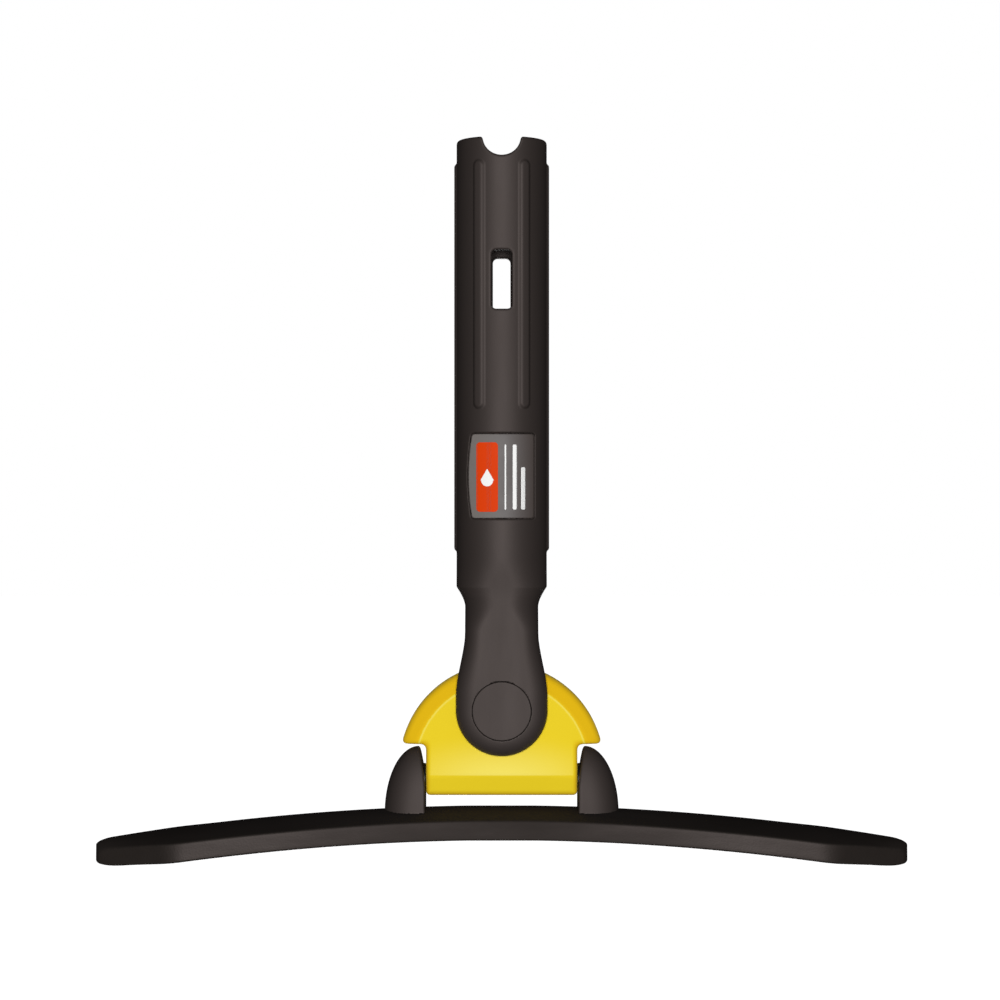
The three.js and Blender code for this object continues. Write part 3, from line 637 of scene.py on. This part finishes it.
def socket_field(p):
    x, y, z = p.T
    radius = np.hypot(x, y)
    up = z - SWIVEL_Z
    body = soft_min(socket_body(x, y, z), ribs(x, y, radius, z), 0.6)
    bore = np.maximum(radius - BORE_RADIUS, -BORE_DEPTH - z)
    bore = soft_min(bore, radius - BORE_RADIUS - 1.2 - 1.2 * z, 0.6)
    core = np.maximum(radius - CORE_RADIUS, -CORE_DEPTH - z)
    body = cut(body, np.minimum(bore, core), 0.6)
    body = cut(body, np.hypot(x, z) - NOTCH_RADIUS, 1.1)
    draft = SLOT_DRAFT * (y + BARREL_RADIUS)
    slot_up = z - SLOT["middle"] + draft
    slot = box_distance(
        x, slot_up, SLOT["half_width"] - draft, SLOT["half_height"] - draft, SLOT["corner"]
    )
    body = cut(body, slot, 1.1)
    seat = np.maximum(label_outline(x, z, LABEL_GAP), -above_seat(x, y))
    body = cut(body, np.maximum(seat, y), 0.7)
    gap = box_distance(y, z - FORK_CROTCH + 40, CHEEK_INNER, 40, 2.2)
    body = cut(body, gap, 0.45)
    across = np.hypot(x, up)
    body = cut(body, across - BOLT_WAY_RADIUS, 0.3)
    head = np.maximum(across - HEAD_SEAT_RADIUS, y + HEAD_SEAT_FLOOR)
    nut = np.maximum(hexagon(x, up, NUT_ACROSS_FLATS), HEAD_SEAT_FLOOR - y)
    caps = np.maximum(across - CAP_SEAT_RADIUS, CAP_SEAT_FLOOR - np.abs(y))
    body = cut(body, np.minimum(head, nut), 0.2)
    return cut(body, caps, 0.22)


socket = moulded("handle_moulding", socket_field, socket_low, socket_high, 0.5, 0.54)
place(socket, "handle", "black_plastic", black_plastic, "handle_socket")


def plate_field(p):
    x, y, z = p.T
    height = above_seat(x, y)
    middle = PLATE_LIFT + PLATE_THICKNESS / 2
    sheet = np.abs(height - middle) - PLATE_THICKNESS / 2
    return soft_max(np.maximum(label_outline(x, z), y), sheet, 0.3)


plate = moulded("label_plate_film", plate_field, label_low, label_high, 0.22, 0.4)
place(plate, "handle", "label_film", label_grey, "label_plate")

PRINT_THICKNESS = 0.08


def print_piece(name, outline, thickness, material):
    """A thin print on the label plate, following its crown."""

    def field(p):
        x, y, z = p.T
        ink = above_seat(x, y) - (PLATE_LIFT + PLATE_THICKNESS)
        sheet = np.maximum(ink - thickness, -0.05 - ink)
        return soft_max(np.maximum(outline(x, z), y), sheet, 0.06)

    xs, zs = np.meshgrid(
        np.linspace(label_low[0], label_high[0], 120), np.linspace(label_low[2], label_high[2], 150)
    )
    inked = outline(xs, zs) < 0
    low = (xs[inked].min(), label_low[1] - thickness, zs[inked].min())
    high = (xs[inked].max(), label_low[1] + 1.6, zs[inked].max())
    made = moulded(name, field, low, high, 0.12, 0.6)
    return place(made, "handle", "label_film", material)


def rounded_bar(middle_x, middle_z, half_width, half_height, corner):
    return lambda x, z: box_distance(x - middle_x, z - middle_z, half_width, half_height, corner)


def droplet(middle_x, middle_z, radius):
    """A water drop: a round belly under a point."""

    def outline(x, z):
        across, up = np.abs(x - middle_x), z - middle_z
        belly = np.hypot(across, up) - radius
        cone = np.maximum(0.87 * across + 0.5 * up - radius, -0.5 * up - 0.2)
        return np.minimum(belly, np.maximum(cone, -up))

    return outline


PRINTS = {
    "print_panel": (rounded_bar(-5.15, -120.2, 3.85, 12.3, 1.3), label_orange),
    "print_thin_stripe": (rounded_bar(1.3, -120.2, 0.3, 11.5, 0.28), label_white),
    "print_long_stripe": (rounded_bar(4.6, -120.2, 0.75, 11.5, 0.5), label_white),
    "print_short_stripe": (rounded_bar(7.6, -124.2, 0.75, 7.5, 0.5), label_white),
}
for name, (outline, material) in PRINTS.items():
    print_piece(name, outline, PRINT_THICKNESS, material)
print_piece("print_drop", droplet(-5.15, -121.4, 2.1), 2 * PRINT_THICKNESS, label_white)

# ---- Swivel hardware -----------------------------------------------------------------------
def turned(name, axis, profile, centre, sides=96):
    """A turned piece: its profile's (radius, place along the axis) points go round the axis."""
    count = len(profile)
    angles = np.linspace(0, 2 * math.pi, sides, endpoint=False)
    rings = np.array([[(r * math.cos(a), r * math.sin(a), h) for r, h in profile] for a in angles])
    order = {"x": (2, 0, 1), "y": (1, 2, 0), "z": (0, 1, 2)}[axis]
    points = rings.reshape(-1, 3)[:, order] + np.array(centre)
    faces = []
    for i in range(sides):
        for j in range(count):
            a, b = i * count + j, i * count + (j + 1) % count
            c, d = ((i + 1) % sides) * count + (j + 1) % count, ((i + 1) % sides) * count + j
            faces.append((a, d, c, b))
    made = mesh_object(name, points * MM, np.array(faces))
    tool = bmesh.new()
    tool.from_mesh(made.data)
    bmesh.ops.remove_doubles(tool, verts=tool.verts, dist=1e-7)
    bmesh.ops.dissolve_degenerate(tool, edges=tool.edges, dist=1e-7)
    bmesh.ops.recalc_face_normals(tool, faces=tool.faces)
    tool.to_mesh(made.data)
    tool.free()
    made.data.set_sharp_from_angle(angle=math.radians(35))
    return made


def rounded_profile(corners, radius, steps=4):
    """A closed profile with each corner rounded by the same radius."""
    made = []
    count = len(corners)
    for i, corner in enumerate(corners):
        here = np.array(corner, float)
        before = np.array(corners[i - 1], float) - here
        after = np.array(corners[(i + 1) % count], float) - here
        reach = min(radius, np.linalg.norm(before) / 2.2, np.linalg.norm(after) / 2.2)
        start = here + before / np.linalg.norm(before) * reach
        end = here + after / np.linalg.norm(after) * reach
        for step in range(steps + 1):
            t = step / steps
            made.append(tuple((1 - t) ** 2 * start + 2 * t * (1 - t) * here + t * t * end))
    return made


CAP_GAP = 0.2  # between a cap and the floor of its seat
CAP_SINK = 0.1  # how far a cap's face lies below the fork's


def cap_field(side):
    """A flush cap with a softened rim and a very slight crown."""
    inner, outer = CAP_SEAT_FLOOR + CAP_GAP, FORK_HALF_DEPTH - CAP_SINK
    radius = node_box("swivel_cap_front")[1][0]

    def field(p):
        x, y, z = p.T
        across = np.hypot(x, z - SWIVEL_Z)
        out = side * y
        crown = 0.08 * (across / radius) ** 2
        rim = across - radius - 0.08
        return soft_max(rim, np.maximum(out - outer + crown, inner - out), 0.25)

    return field


for name, side in (("swivel_cap_front", -1), ("swivel_cap_rear", 1)):
    low, high = node_box(name)
    cap = moulded(name + "_disc", cap_field(side), low, high, 0.35, 0.4)
    place(cap, "handle", "black_plastic", black_plastic, name)


BOLT_HEAD_INNER = -11.0
BOLT_SHANK_START = -11.5
BOLT_RADIUS = 3.0
BOLT_KEY = (4.0, 1.6)  # across the flats of the head's hexagon socket, and its depth
NUT_SIZE = 10.0
NUT_CORNER_RADIUS = 5.3


def bolt_field(p):
    x, y, z = p.T
    across = np.hypot(x, z - SWIVEL_Z)
    low, high = node_box("swivel_bolt")
    head = soft_max(across - high[0], np.maximum(low[1] - y, y - BOLT_HEAD_INNER), 0.5)
    shank = np.maximum(BOLT_SHANK_START - y, y - high[1])
    shank = soft_max(across - BOLT_RADIUS, shank, 0.5)
    key = np.maximum(hexagon(x, z - SWIVEL_Z, BOLT_KEY[0]), y - low[1] - BOLT_KEY[1])
    return cut(soft_min(head, shank, 0.3), key, 0.15)


low, high = node_box("swivel_bolt")
bolt = moulded("swivel_bolt_turned", bolt_field, low, high, 0.3, 0.4)
place(bolt, "handle", "zinc_steel", zinc, "swivel_bolt")


def nut_field(p):
    x, y, z = p.T
    low, high = node_box("swivel_nut")
    across = np.hypot(x, z - SWIVEL_Z)
    sides = hexagon(x, z - SWIVEL_Z, NUT_SIZE)
    chamfer = across - NUT_CORNER_RADIUS + 0.6 * np.maximum(np.abs(y - (low[1] + high[1]) / 2) - 0.9, 0)
    body = np.maximum(soft_max(sides, chamfer, 0.1), np.maximum(low[1] - y, y - high[1]))
    return cut(body, across - BOLT_RADIUS - 0.2, 0.3)


low, high = node_box("swivel_nut")
nut = moulded("swivel_nut_turned", nut_field, low, high, 0.2, 0.3)
place(nut, "handle", "zinc_steel", zinc, "swivel_nut")

for name, side in (("swivel_bush_front", -1), ("swivel_bush_rear", 1)):
    corners = [(3.25, 0.15), (5.0, 0.15), (5.0, 8.15), (8.0, 8.15), (8.0, 8.85), (3.25, 8.85)]
    profile = rounded_profile([(r, side * h) for r, h in corners], 0.2)
    bush = turned(name + "_flanged", "y", profile, (0, 0, SWIVEL_Z))
    place(bush, "block", "black_acetal", acetal, name)

# ---- Joint block ---------------------------------------------------------------------------
block_low, block_high = node_box("joint_block")
DOME_RADIUS = 36.6
DOME_Z = block_high[2] - DOME_RADIUS
DOME_BEVEL = 6.0
OVERHANG_Z = -215.1
BLOCK_HALF_WIDTH = 26.9
BLOCK_BOTTOM = block_low[2]
BLOCK_HALF_DEPTH = block_high[1]
FOOT_BEVEL_TOP = -226.0
FOOT_HALF_DEPTH = 5.6
BLOCK_EDGE = 1.1
BEVEL_SLOPE = 0.457  # how much depth the dome loses per mm across its bevel
SWIVEL_HOLE_RADIUS = 5.15
TILT_HOLE_RADIUS = 3.75
RIM_PAINTED_SHADE = 2.0  # mm in from the outline, over which painted shade deepens the colour
PAINTED_LIGHT_REACH = (45.0, 18.0)  # how far the painted light, pale in the middle of the face, spreads across and up
PAINTED_LIGHT_Z = -228.0
CREASE_PAINTED_HIGHLIGHT = 0.5  # half the width of the painted highlight, a pale line round the dome's bevel


def block_outline(x, z):
    dome = soft_max(np.hypot(x, z - DOME_Z) - DOME_RADIUS, OVERHANG_Z - z, 2.2)
    stem = box_distance(x, z - BLOCK_BOTTOM - 15, BLOCK_HALF_WIDTH, 15, 1.5)
    return soft_min(dome, stem, 2.2)


def block_painted_shading(p):
    """Painted shade, deep on the dome's bevel and round the outline; painted highlights, pale low on
    the face and along the bevel's inner edge.
    """
    x, y, z = p.T
    inside_dome = DOME_RADIUS - DOME_BEVEL - np.hypot(x, z - DOME_Z)
    above_foot = z > FOOT_BEVEL_TOP
    # painted light: a pale pool low on the face
    painted_face_light = ease(1 - np.hypot(x / PAINTED_LIGHT_REACH[0], (z - PAINTED_LIGHT_Z) / PAINTED_LIGHT_REACH[1]))
    crease_highlight = 0.8 * ease(1 - np.abs(inside_dome) / CREASE_PAINTED_HIGHLIGHT) * (z > OVERHANG_Z)
    pale = np.maximum(painted_face_light * above_foot, crease_highlight)
    # painted shade on the dome's bevel and round the outline
    deep = np.maximum(ease(0.5 - inside_dome), ease(1 + block_outline(x, z) / RIM_PAINTED_SHADE))
    return np.where(crease_highlight > 0.05, -crease_highlight, mix(-pale, 1, deep))


def block_field(p):
    x, y, z = p.T
    side, depth = np.abs(x), np.abs(y)
    from_dome = np.hypot(x, z - DOME_Z)
    outline = block_outline(x, z)
    dish = (depth - BLOCK_HALF_DEPTH) + BEVEL_SLOPE * (from_dome - DOME_RADIUS + DOME_BEVEL)
    dish *= 0.91  # back to a true distance
    foot_slope = (BLOCK_HALF_DEPTH - FOOT_HALF_DEPTH) / (FOOT_BEVEL_TOP - BLOCK_BOTTOM)
    foot = (depth - BLOCK_HALF_DEPTH + foot_slope * (FOOT_BEVEL_TOP - z)) * 0.95
    crowned = depth - BLOCK_HALF_DEPTH + 0.25 * (side / BLOCK_HALF_WIDTH) ** 4
    faces = soft_max(soft_max(crowned, dish, 0.45), foot, 0.3)
    body = soft_max(outline, faces, 2 * BLOCK_EDGE)
    body = cut(body, np.hypot(x, z - SWIVEL_Z) - SWIVEL_HOLE_RADIUS, 0.4)
    return cut(body, np.hypot(y, z - TILT_Z) - TILT_HOLE_RADIUS, 0.4)


block = moulded("joint_block_moulding", block_field, block_low, block_high, 0.4, 0.7, block_painted_shading)
place(block, "block", "yellow_plastic", yellow_plastic, "joint_block")

for name, side in (("hinge_bush_left", -1), ("hinge_bush_right", 1)):
    corners = [(2.75, 13.9), (3.6, 13.9), (3.6, 27.1), (5.7, 27.1), (5.7, 28.1), (2.75, 28.1)]
    profile = rounded_profile([(r, side * h) for r, h in corners], 0.25)
    bush = turned(name + "_collar", "x", profile, (0, 0, TILT_Z))
    place(bush, "block", "black_acetal", acetal, name)

PIN_RADIUS = 2.5
PIN_END = 36
ON_AXIS = 0.001  # a turned profile's closest point to its axis

pin_corners = [(ON_AXIS, -PIN_END), (PIN_RADIUS, -PIN_END), (PIN_RADIUS, PIN_END), (ON_AXIS, PIN_END)]
pin = turned("hinge_pin_ground", "x", rounded_profile(pin_corners, 0.4), (0, 0, TILT_Z), 64)
place(pin, "bar_centre", "zinc_steel", zinc, "hinge_pin")

# ---- Bar -----------------------------------------------------------------------------------
blade_high = node_box("blade_centre")[1]
BAR_HALF_LENGTH = float(node_box("blade_right_4")[1][0])
BAR_HALF_DEPTH = float(blade_high[1])
BAR_TOP = float(blade_high[2])
BAR_THICKNESS = 9.8
BAR_BOTTOM = BAR_TOP - BAR_THICKNESS
BAR_CROWN = 3.2
BAR_BOW = 5.8e-4
BAR_FLAT = 12.0
TAPER_START = 116.0
NOSE_RADIUS = 4.0
BELLY = (0.4, 0.8, 125.0)  # the underside's extra depth at the middle, at its most, and where
BELLY_FADE = (114.0, 138.0)
SHOULDER = (0.55, 85.0)  # how much more the faces' top edges fall than the ridge, and by where
SHOULDER_FADE = (112.0, 132.0, 0.35)
TIP_LIFT = (0.28, 100.0, 118.0)  # how much the top rises towards the tips, from where to where
TIP_UNDER = (11.0, 3.0)  # length and rise of the underside's rounding into the tip
TIP_TOP = (6.0, 1.9)  # length and fall of the top's
EDGE_ROUND = 0.8
TOP_ROUND = 0.7
STRIP_HALF_WIDTH = 8.3
STRIP_HALF_HEIGHT = 0.8
STRIP_DEPTH = 5.0
STRIP_END = 128.3
BAR_EDGE_WEAR = 0.35  # how rubbed the bar's edges are

nose_centre = BAR_HALF_LENGTH - NOSE_RADIUS
taper_reach = math.hypot(nose_centre - TAPER_START, BAR_HALF_DEPTH)
taper_angle = math.atan2(BAR_HALF_DEPTH, nose_centre - TAPER_START) - math.asin(
    NOSE_RADIUS / taper_reach
)
nose_start = nose_centre + NOSE_RADIUS * math.sin(taper_angle)
TAPER_BLEND = 2.4


def bar_half_depth(x):
    """Half the bar's depth: parallel, then tapered through a soft corner to a round nose."""
    out = abs(x)
    if out > nose_start:
        return math.sqrt(max(NOSE_RADIUS**2 - (out - nose_centre) ** 2, 0))
    taper = BAR_HALF_DEPTH - math.tan(taper_angle) * (out - TAPER_START)
    h = max(TAPER_BLEND - abs(taper - BAR_HALF_DEPTH), 0) / TAPER_BLEND
    return min(taper, BAR_HALF_DEPTH) - h * h * TAPER_BLEND / 4


def bar_fall(x):
    return BAR_BOW * max(0.0, x * x - BAR_FLAT**2)


def belly(x):
    out = np.abs(x)
    grown = mix(BELLY[0], BELLY[1], ease((out - BAR_FLAT) / (BELLY[2] - BAR_FLAT)))
    return grown * (1 - ease((out - BELLY_FADE[0]) / (BELLY_FADE[1] - BELLY_FADE[0])))


def shoulder_fall(x):
    out = np.abs(x)
    start, end, faded = SHOULDER_FADE
    return SHOULDER[0] * ease(out / SHOULDER[1]) - faded * ease((out - start) / (end - start))


def tip_lift(x):
    amount, start, end = TIP_LIFT
    return amount * ease((np.abs(x) - start) / (end - start))


CROWN_POINTS = 28
EDGE_POINTS = 6
WALL_POINTS = 5
FLOOR_POINTS = 8


def tip_round(x, length, amount):
    """How far a rounding has gone at x: none where it starts, all of it at the very tip."""
    along = max(0.0, (abs(x) - BAR_HALF_LENGTH + length) / length)
    return amount * (1 - math.sqrt(1 - min(along, 1.0) ** 2))


def bar_section(x):
    """The bar's section at x: points (y, z) round it from the middle of the underside, how much
    each stands on an edge, and how much it belongs to the top."""
    half = max(bar_half_depth(x), 0.15)
    floor = BAR_BOTTOM - bar_fall(x) - belly(x) + tip_round(x, *TIP_UNDER)
    lift = tip_lift(x)
    crown = BAR_CROWN + shoulder_fall(x) + lift
    wall_top = BAR_TOP + lift - crown - bar_fall(x) - tip_round(x, *TIP_TOP)
    low_round, top_round = min(EDGE_ROUND, half * 0.6), min(TOP_ROUND, half * 0.5)
    side = [((half - low_round) * i / FLOOR_POINTS, floor, 0, 0) for i in range(FLOOR_POINTS)]
    for i in range(EDGE_POINTS + 1):
        turn = math.pi / 2 * i / EDGE_POINTS
        out, up = low_round * math.sin(turn), low_round * (1 - math.cos(turn))
        side.append((half - low_round + out, floor + up, math.sin(2 * turn), 0))
    low, high = floor + low_round, wall_top - top_round
    for i in range(1, WALL_POINTS + 1):
        side.append((half, mix(low, high, i / WALL_POINTS), 0, 0))
    across = half - top_round
    shoulder = wall_top + crown * (1 - (across / half) ** 2)
    for i in range(1, EDGE_POINTS):
        t = i / EDGE_POINTS
        y = mix(half, mix(half, across, t), t)
        z = mix(mix(high, wall_top, t), mix(wall_top, shoulder, t), t)
        side.append((y, z, math.sin(math.pi * t), t))
    for i in range(CROWN_POINTS // 2 + 1):
        y = across * (1 - i / (CROWN_POINTS // 2))
        side.append((y, wall_top + crown * (1 - (y / half) ** 2), 0, 1))
    return side + [(-y, z, edge, top) for y, z, edge, top in side[1:-1]][::-1]


def tunnel_section(x, around):
    """The strip's tunnel at x, with a point facing each one of the outer section."""
    middle = BAR_TOP - bar_fall(x) - STRIP_DEPTH
    made = []
    for y, z, _, _ in around:
        angle = math.atan2(z - middle, y * 0.25)
        wide = abs(math.cos(angle)) / STRIP_HALF_WIDTH
        tall = abs(math.sin(angle)) / STRIP_HALF_HEIGHT
        reach = 1 / max(wide, tall)
        made.append((reach * math.cos(angle), middle + reach * math.sin(angle)))
    return made


def bar_stations(start, end):
    """Places along the bar where its section is drawn, from |x| start to end on the + side."""
    marks = set(np.linspace(start, min(end, nose_start), 24))
    if end > nose_start:
        turns = np.linspace(taper_angle, math.pi / 2, 14)[1:]
        marks |= {nose_centre + NOSE_RADIUS * math.sin(turn) for turn in turns}
    return sorted(marks)


def bar_length(name, stations, tunnel_end):
    """One length of the bar through its stations, closed at both ends round its tunnel."""
    sections = [bar_section(x) for x in stations]
    count = len(sections[0])
    points, marks, faces = [], [], []

    def rows_of(places, rings):
        rows = []
        for x, ring in zip(places, rings):
            rows.append(len(points))
            points.extend((x * MM, point[0] * MM, point[1] * MM) for point in ring)
            marks.extend(point[2:] if len(point) > 2 else (0, 0) for point in ring)
        return rows

    def band(row, other):
        faces.extend(
            (row + j, row + (j + 1) % count, other + (j + 1) % count, other + j)
            for j in range(count)
        )

    def skin(rows):
        for row, other in zip(rows, rows[1:]):
            band(row, other)

    def disc(row):
        faces.append(tuple(row + j for j in range(count)))

    outer = rows_of(stations, sections)
    hollow = [x for x in stations if abs(x) < tunnel_end]
    open_end = len(hollow) == len(stations)
    if not open_end:
        hollow.append(math.copysign(tunnel_end, stations[-1]))
    inner = rows_of(hollow, [tunnel_section(x, bar_section(x)) for x in hollow])
    skin(outer)
    skin(inner)
    band(outer[0], inner[0])
    if open_end:
        band(outer[-1], inner[-1])
    else:
        disc(outer[-1])
        disc(inner[-1])
    mesh = bpy.data.meshes.new(name)
    mesh.from_pydata(points, [], faces)
    # the attribute top marks the upper side, which the rubber darkens with painted shade
    for column, (mark, most) in enumerate((("edge", BAR_EDGE_WEAR), ("top", 1))):
        values = np.array(marks, np.float32)[:, column] * most
        mesh.attributes.new(mark, "FLOAT", "POINT").data.foreach_set("value", values)
    tool = bmesh.new()
    tool.from_mesh(mesh)
    bmesh.ops.recalc_face_normals(tool, faces=tool.faces)
    tool.to_mesh(mesh)
    tool.free()
    mesh.shade_smooth()
    mesh.set_sharp_from_angle(angle=math.radians(40))
    made = bpy.data.objects.new(name, mesh)
    bpy.context.scene.collection.objects.link(made)
    return made


CENTRE_END = 38.5


def screw_places():
    for side in ("left", "right"):
        for depth in ("front", "rear"):
            low, high = node_box(f"ear_screw_{side}_{depth}")
            yield f"ear_screw_{side}_{depth}", (low + high) / 2, low, high


def drill(piece, cutters):
    """Cuts turned cutters out of a piece."""
    for cutter in cutters:
        hole = piece.modifiers.new("hole", "BOOLEAN")
        hole.operation = "DIFFERENCE"
        hole.solver = "EXACT"
        hole.object = cutter
    apply_modifiers(piece)
    for cutter in cutters:
        bpy.data.objects.remove(cutter)


centre = bar_length("blade_centre_body", np.linspace(-CENTRE_END, CENTRE_END, 57), CENTRE_END + 1)
ways = []
for name, middle, low, high in screw_places():
    floor = BAR_BOTTOM - bar_fall(middle[0]) - belly(middle[0])
    corners = [(ON_AXIS, -2), (3.3, -2), (3.3, 0.7), (1.8, 2.9), (1.8, 14), (ON_AXIS, 14)]
    ways.append(turned(name + "_way", "z", corners, (middle[0], middle[1], floor), 48))
drill(centre, ways)
centre.data.set_sharp_from_angle(angle=math.radians(40))
place(centre, "bar_centre", "black_rubber", bar_rubber, "blade_centre")

# For each length of a wing, its two ends and the stretch over which it bends about its joint.
WINGS = [
    (CENTRE_END, 57.0, 38.7, 50.5),
    (57.0, 81.5, 58.5, 79.5),
    (81.5, 106.5, 83.5, 104.5),
    (106.5, BAR_HALF_LENGTH, 108.5, 129.5),
]
for wing, sign in (("left", -1), ("right", 1)):
    inner_body = "bar_centre"
    for number, (start, end, bend_from, bend_to) in enumerate(WINGS, 1):
        outer_body = f"{wing}_wing_{number}"
        stations = [sign * x for x in bar_stations(start, end)]
        length = bar_length(f"blade_{wing}_{number}_body", stations, STRIP_END)
        place(length, None, "black_rubber", bar_rubber, f"blade_{wing}_{number}")
        ends = [(inner_body, sign * bend_from * MM), (outer_body, sign * bend_to * MM)]
        if number == len(WINGS):
            ends.reverse()  # the ends told from the tip inwards; nothing reads them
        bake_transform(length)
        inner_body = outer_body

for name, node in frame["nodes"].items():
    if name.startswith("spring_strip"):
        node.data.materials.clear()
        node.data.materials.append(strip_steel)


def bar_top(x, y):
    """The height of the bar's crowned top, away from its taper."""
    fall = BAR_BOW * np.maximum(x * x - BAR_FLAT**2, 0)
    return BAR_TOP - fall - (BAR_CROWN + shoulder_fall(x)) * (y / BAR_HALF_DEPTH) ** 2


# ---- Ears ----------------------------------------------------------------------------------
EAR_HALF_DEPTH = 10.8
EAR_ROUNDNESS = 2.4
EAR_INNER_FOOT = 27.2
EAR_INNER_KNEE = (27.8, -224.5)
EAR_INNER_TOP = (29.1, -216.2)
EAR_LEAN_START = -230.0
EAR_SWEEP_X = 29.5
EAR_SWEEP_Z = -240.0
EAR_SWEEP_HALF_WIDTH = 12.3
EAR_SWEEP_HEIGHT = 23.8
COLLAR_SEAT = 28.4
COLLAR_SEAT_RADIUS = 6.1
PIN_WAY_RADIUS = PIN_RADIUS + 0.15
PIN_WAY_END = PIN_END + 0.3
EAR_LIFT = 0.1  # between an ear's foot and the bar's top


def ear_field(sign):
    lean_levels = (EAR_LEAN_START, EAR_INNER_KNEE[1], EAR_INNER_TOP[1])
    lean_places = (EAR_INNER_FOOT, EAR_INNER_KNEE[0], EAR_INNER_TOP[0])

    def field(p):
        x, y, z = p.T
        x = x * sign
        up = z - TILT_Z
        fin_x = np.maximum(x - EAR_SWEEP_X, 0) / EAR_SWEEP_HALF_WIDTH
        fin_z = np.maximum(z - EAR_SWEEP_Z, 0) / EAR_SWEEP_HEIGHT
        share = np.hypot(fin_x, fin_z) ** EAR_ROUNDNESS
        share = share + (np.abs(y) / EAR_HALF_DEPTH) ** EAR_ROUNDNESS
        fin = (np.maximum(share, 1e-9) ** (1 / EAR_ROUNDNESS) - 1) * EAR_SWEEP_HALF_WIDTH
        inner = np.interp(z, lean_levels, lean_places)
        body = soft_max(fin, inner - x, 0.9)
        body = np.maximum(body, bar_top(x, y) + EAR_LIFT - z)
        seat = np.maximum(np.hypot(y, up) - COLLAR_SEAT_RADIUS, x - COLLAR_SEAT)
        way = np.maximum(np.hypot(y, up) - PIN_WAY_RADIUS, x - PIN_WAY_END)
        return cut(cut(body, seat, 0.3), way, 0.3)

    return field


for name, sign in (("ear_left", -1), ("ear_right", 1)):
    low, high = node_box(name)
    ear = moulded(name + "_moulding", ear_field(sign), low, high, 0.35, 0.45)
    place(ear, "bar_centre", "black_plastic", black_plastic, name)


THREAD_PITCH = 1.4
THREAD_HEIGHT = 0.18
THREAD_START = 8
SCREW_RADIUS = 1.32
CROSS = (1.7, 0.42, 1.1)  # half length, half width and depth of the screw head's cross


def screw_field(centre_x, centre_y, bottom, top):
    def field(p):
        x, y, z = p.T
        x, y = x - centre_x, y - centre_y
        across = np.hypot(x, y)
        up = z - bottom
        head = np.maximum(across - np.maximum(3.0 - 0.68 * up, 1.5), -up) * 0.85
        turn = 2 * math.pi * up / THREAD_PITCH - np.arctan2(y, x)
        thread = THREAD_HEIGHT * np.cos(turn) * (up > THREAD_START)
        shank = (across - SCREW_RADIUS - thread) * 0.8
        body = soft_max(np.minimum(head, shank), up - (top - bottom), 0.6)
        body = np.maximum(body, -up)
        long, wide, deep = CROSS
        cross = np.minimum(
            np.maximum(np.abs(x) - long, np.abs(y) - wide),
            np.maximum(np.abs(y) - long, np.abs(x) - wide),
        )
        return cut(body, np.maximum(cross, up - deep), 0.15)

    return field


for name, middle, low, high in screw_places():
    field = screw_field(middle[0], middle[1], low[2], high[2])
    screw = moulded(name + "_threaded", field, low, high, 0.16, 0.3)
    place(screw, "bar_centre", "zinc_steel", zinc, name)

# ---- Camera, lights and floor --------------------------------------------------------------
VIEW_HEIGHT = -0.1283
VIEW_DISTANCE = 1.0
FLOOR_DROP = 0.6
FLOOR_HALF_SIZE = 20
AMBIENT = 0.1  # the surroundings' light on matt surfaces
GLOSSY_AMBIENT = 0.01  # and in reflections

camera = bpy.data.objects.new("camera", bpy.data.cameras.new("camera"))
camera.data.lens = 100.7
camera.data.sensor_width = 36
camera.data.clip_start = 0.05
camera.data.clip_end = 50
camera.location = (-0.0006, -VIEW_DISTANCE, VIEW_HEIGHT)
camera.rotation_euler = (math.pi / 2, 0, 0)
bpy.context.scene.collection.objects.link(camera)
bpy.context.scene.camera = camera


def soft_light(name, location, size, watts):
    """A square soft light aimed at the middle of the object."""
    lamp = bpy.data.lights.new(name, "AREA")
    lamp.size = size
    lamp.energy = watts
    made = bpy.data.objects.new(name, lamp)
    made.location = location
    made.visible_camera = False
    aim = Vector((0, 0, VIEW_HEIGHT)) - Vector(location)
    made.rotation_euler = aim.to_track_quat("-Z", "Y").to_euler()
    bpy.context.scene.collection.objects.link(made)


soft_light("front light", (0, -2.6, -0.02), 0.7, 69)
soft_light("low rear light", (0, 0.9, -0.8), 0.5, 10)

floor = mesh_object(
    "floor",
    np.array([(-1, -1, 0), (1, -1, 0), (1, 1, 0), (-1, 1, 0)], float) * FLOOR_HALF_SIZE
    + (0, 0, cad_low.z - FLOOR_DROP),
    np.array([[0, 1, 2, 3]]),
)
pale = bpy.data.materials.new("pale floor")
pale.use_nodes = True
pale_shader = pale.node_tree.nodes["Principled BSDF"]
pale_shader.inputs["Base Color"].default_value = (0.85, 0.85, 0.85, 1)
pale_shader.inputs["Roughness"].default_value = 0.9
pale_shader.inputs["Specular IOR Level"].default_value = 0
pale_shader.inputs["Emission Color"].default_value = (1, 1, 1, 1)
pale_shader.inputs["Emission Strength"].default_value = 1.0
floor.data.materials.append(pale)
floor.visible_diffuse = False
floor.visible_glossy = False

world = bpy.data.worlds.new("studio")
world.use_nodes = True
bpy.context.scene.world = world
sky = world.node_tree
paths = sky.nodes.new("ShaderNodeLightPath")
shade = sky.nodes.new("ShaderNodeMix")
shade.inputs["A"].default_value = AMBIENT
shade.inputs["B"].default_value = GLOSSY_AMBIENT
sky.links.new(paths.outputs["Is Glossy Ray"], shade.inputs["Factor"])
seen = sky.nodes.new("ShaderNodeMix")
seen.inputs["B"].default_value = 1.0
sky.links.new(paths.outputs["Is Camera Ray"], seen.inputs["Factor"])
sky.links.new(shade.outputs["Result"], seen.inputs["A"])
sky.nodes["Background"].inputs["Color"].default_value = (1, 1, 1, 1)
sky.links.new(seen.outputs["Result"], sky.nodes["Background"].inputs["Strength"])
bpy.context.scene.view_settings.view_transform = "Standard"

# ---- Scene update --------------------------------------------------------------------------
bpy.context.view_layer.update()
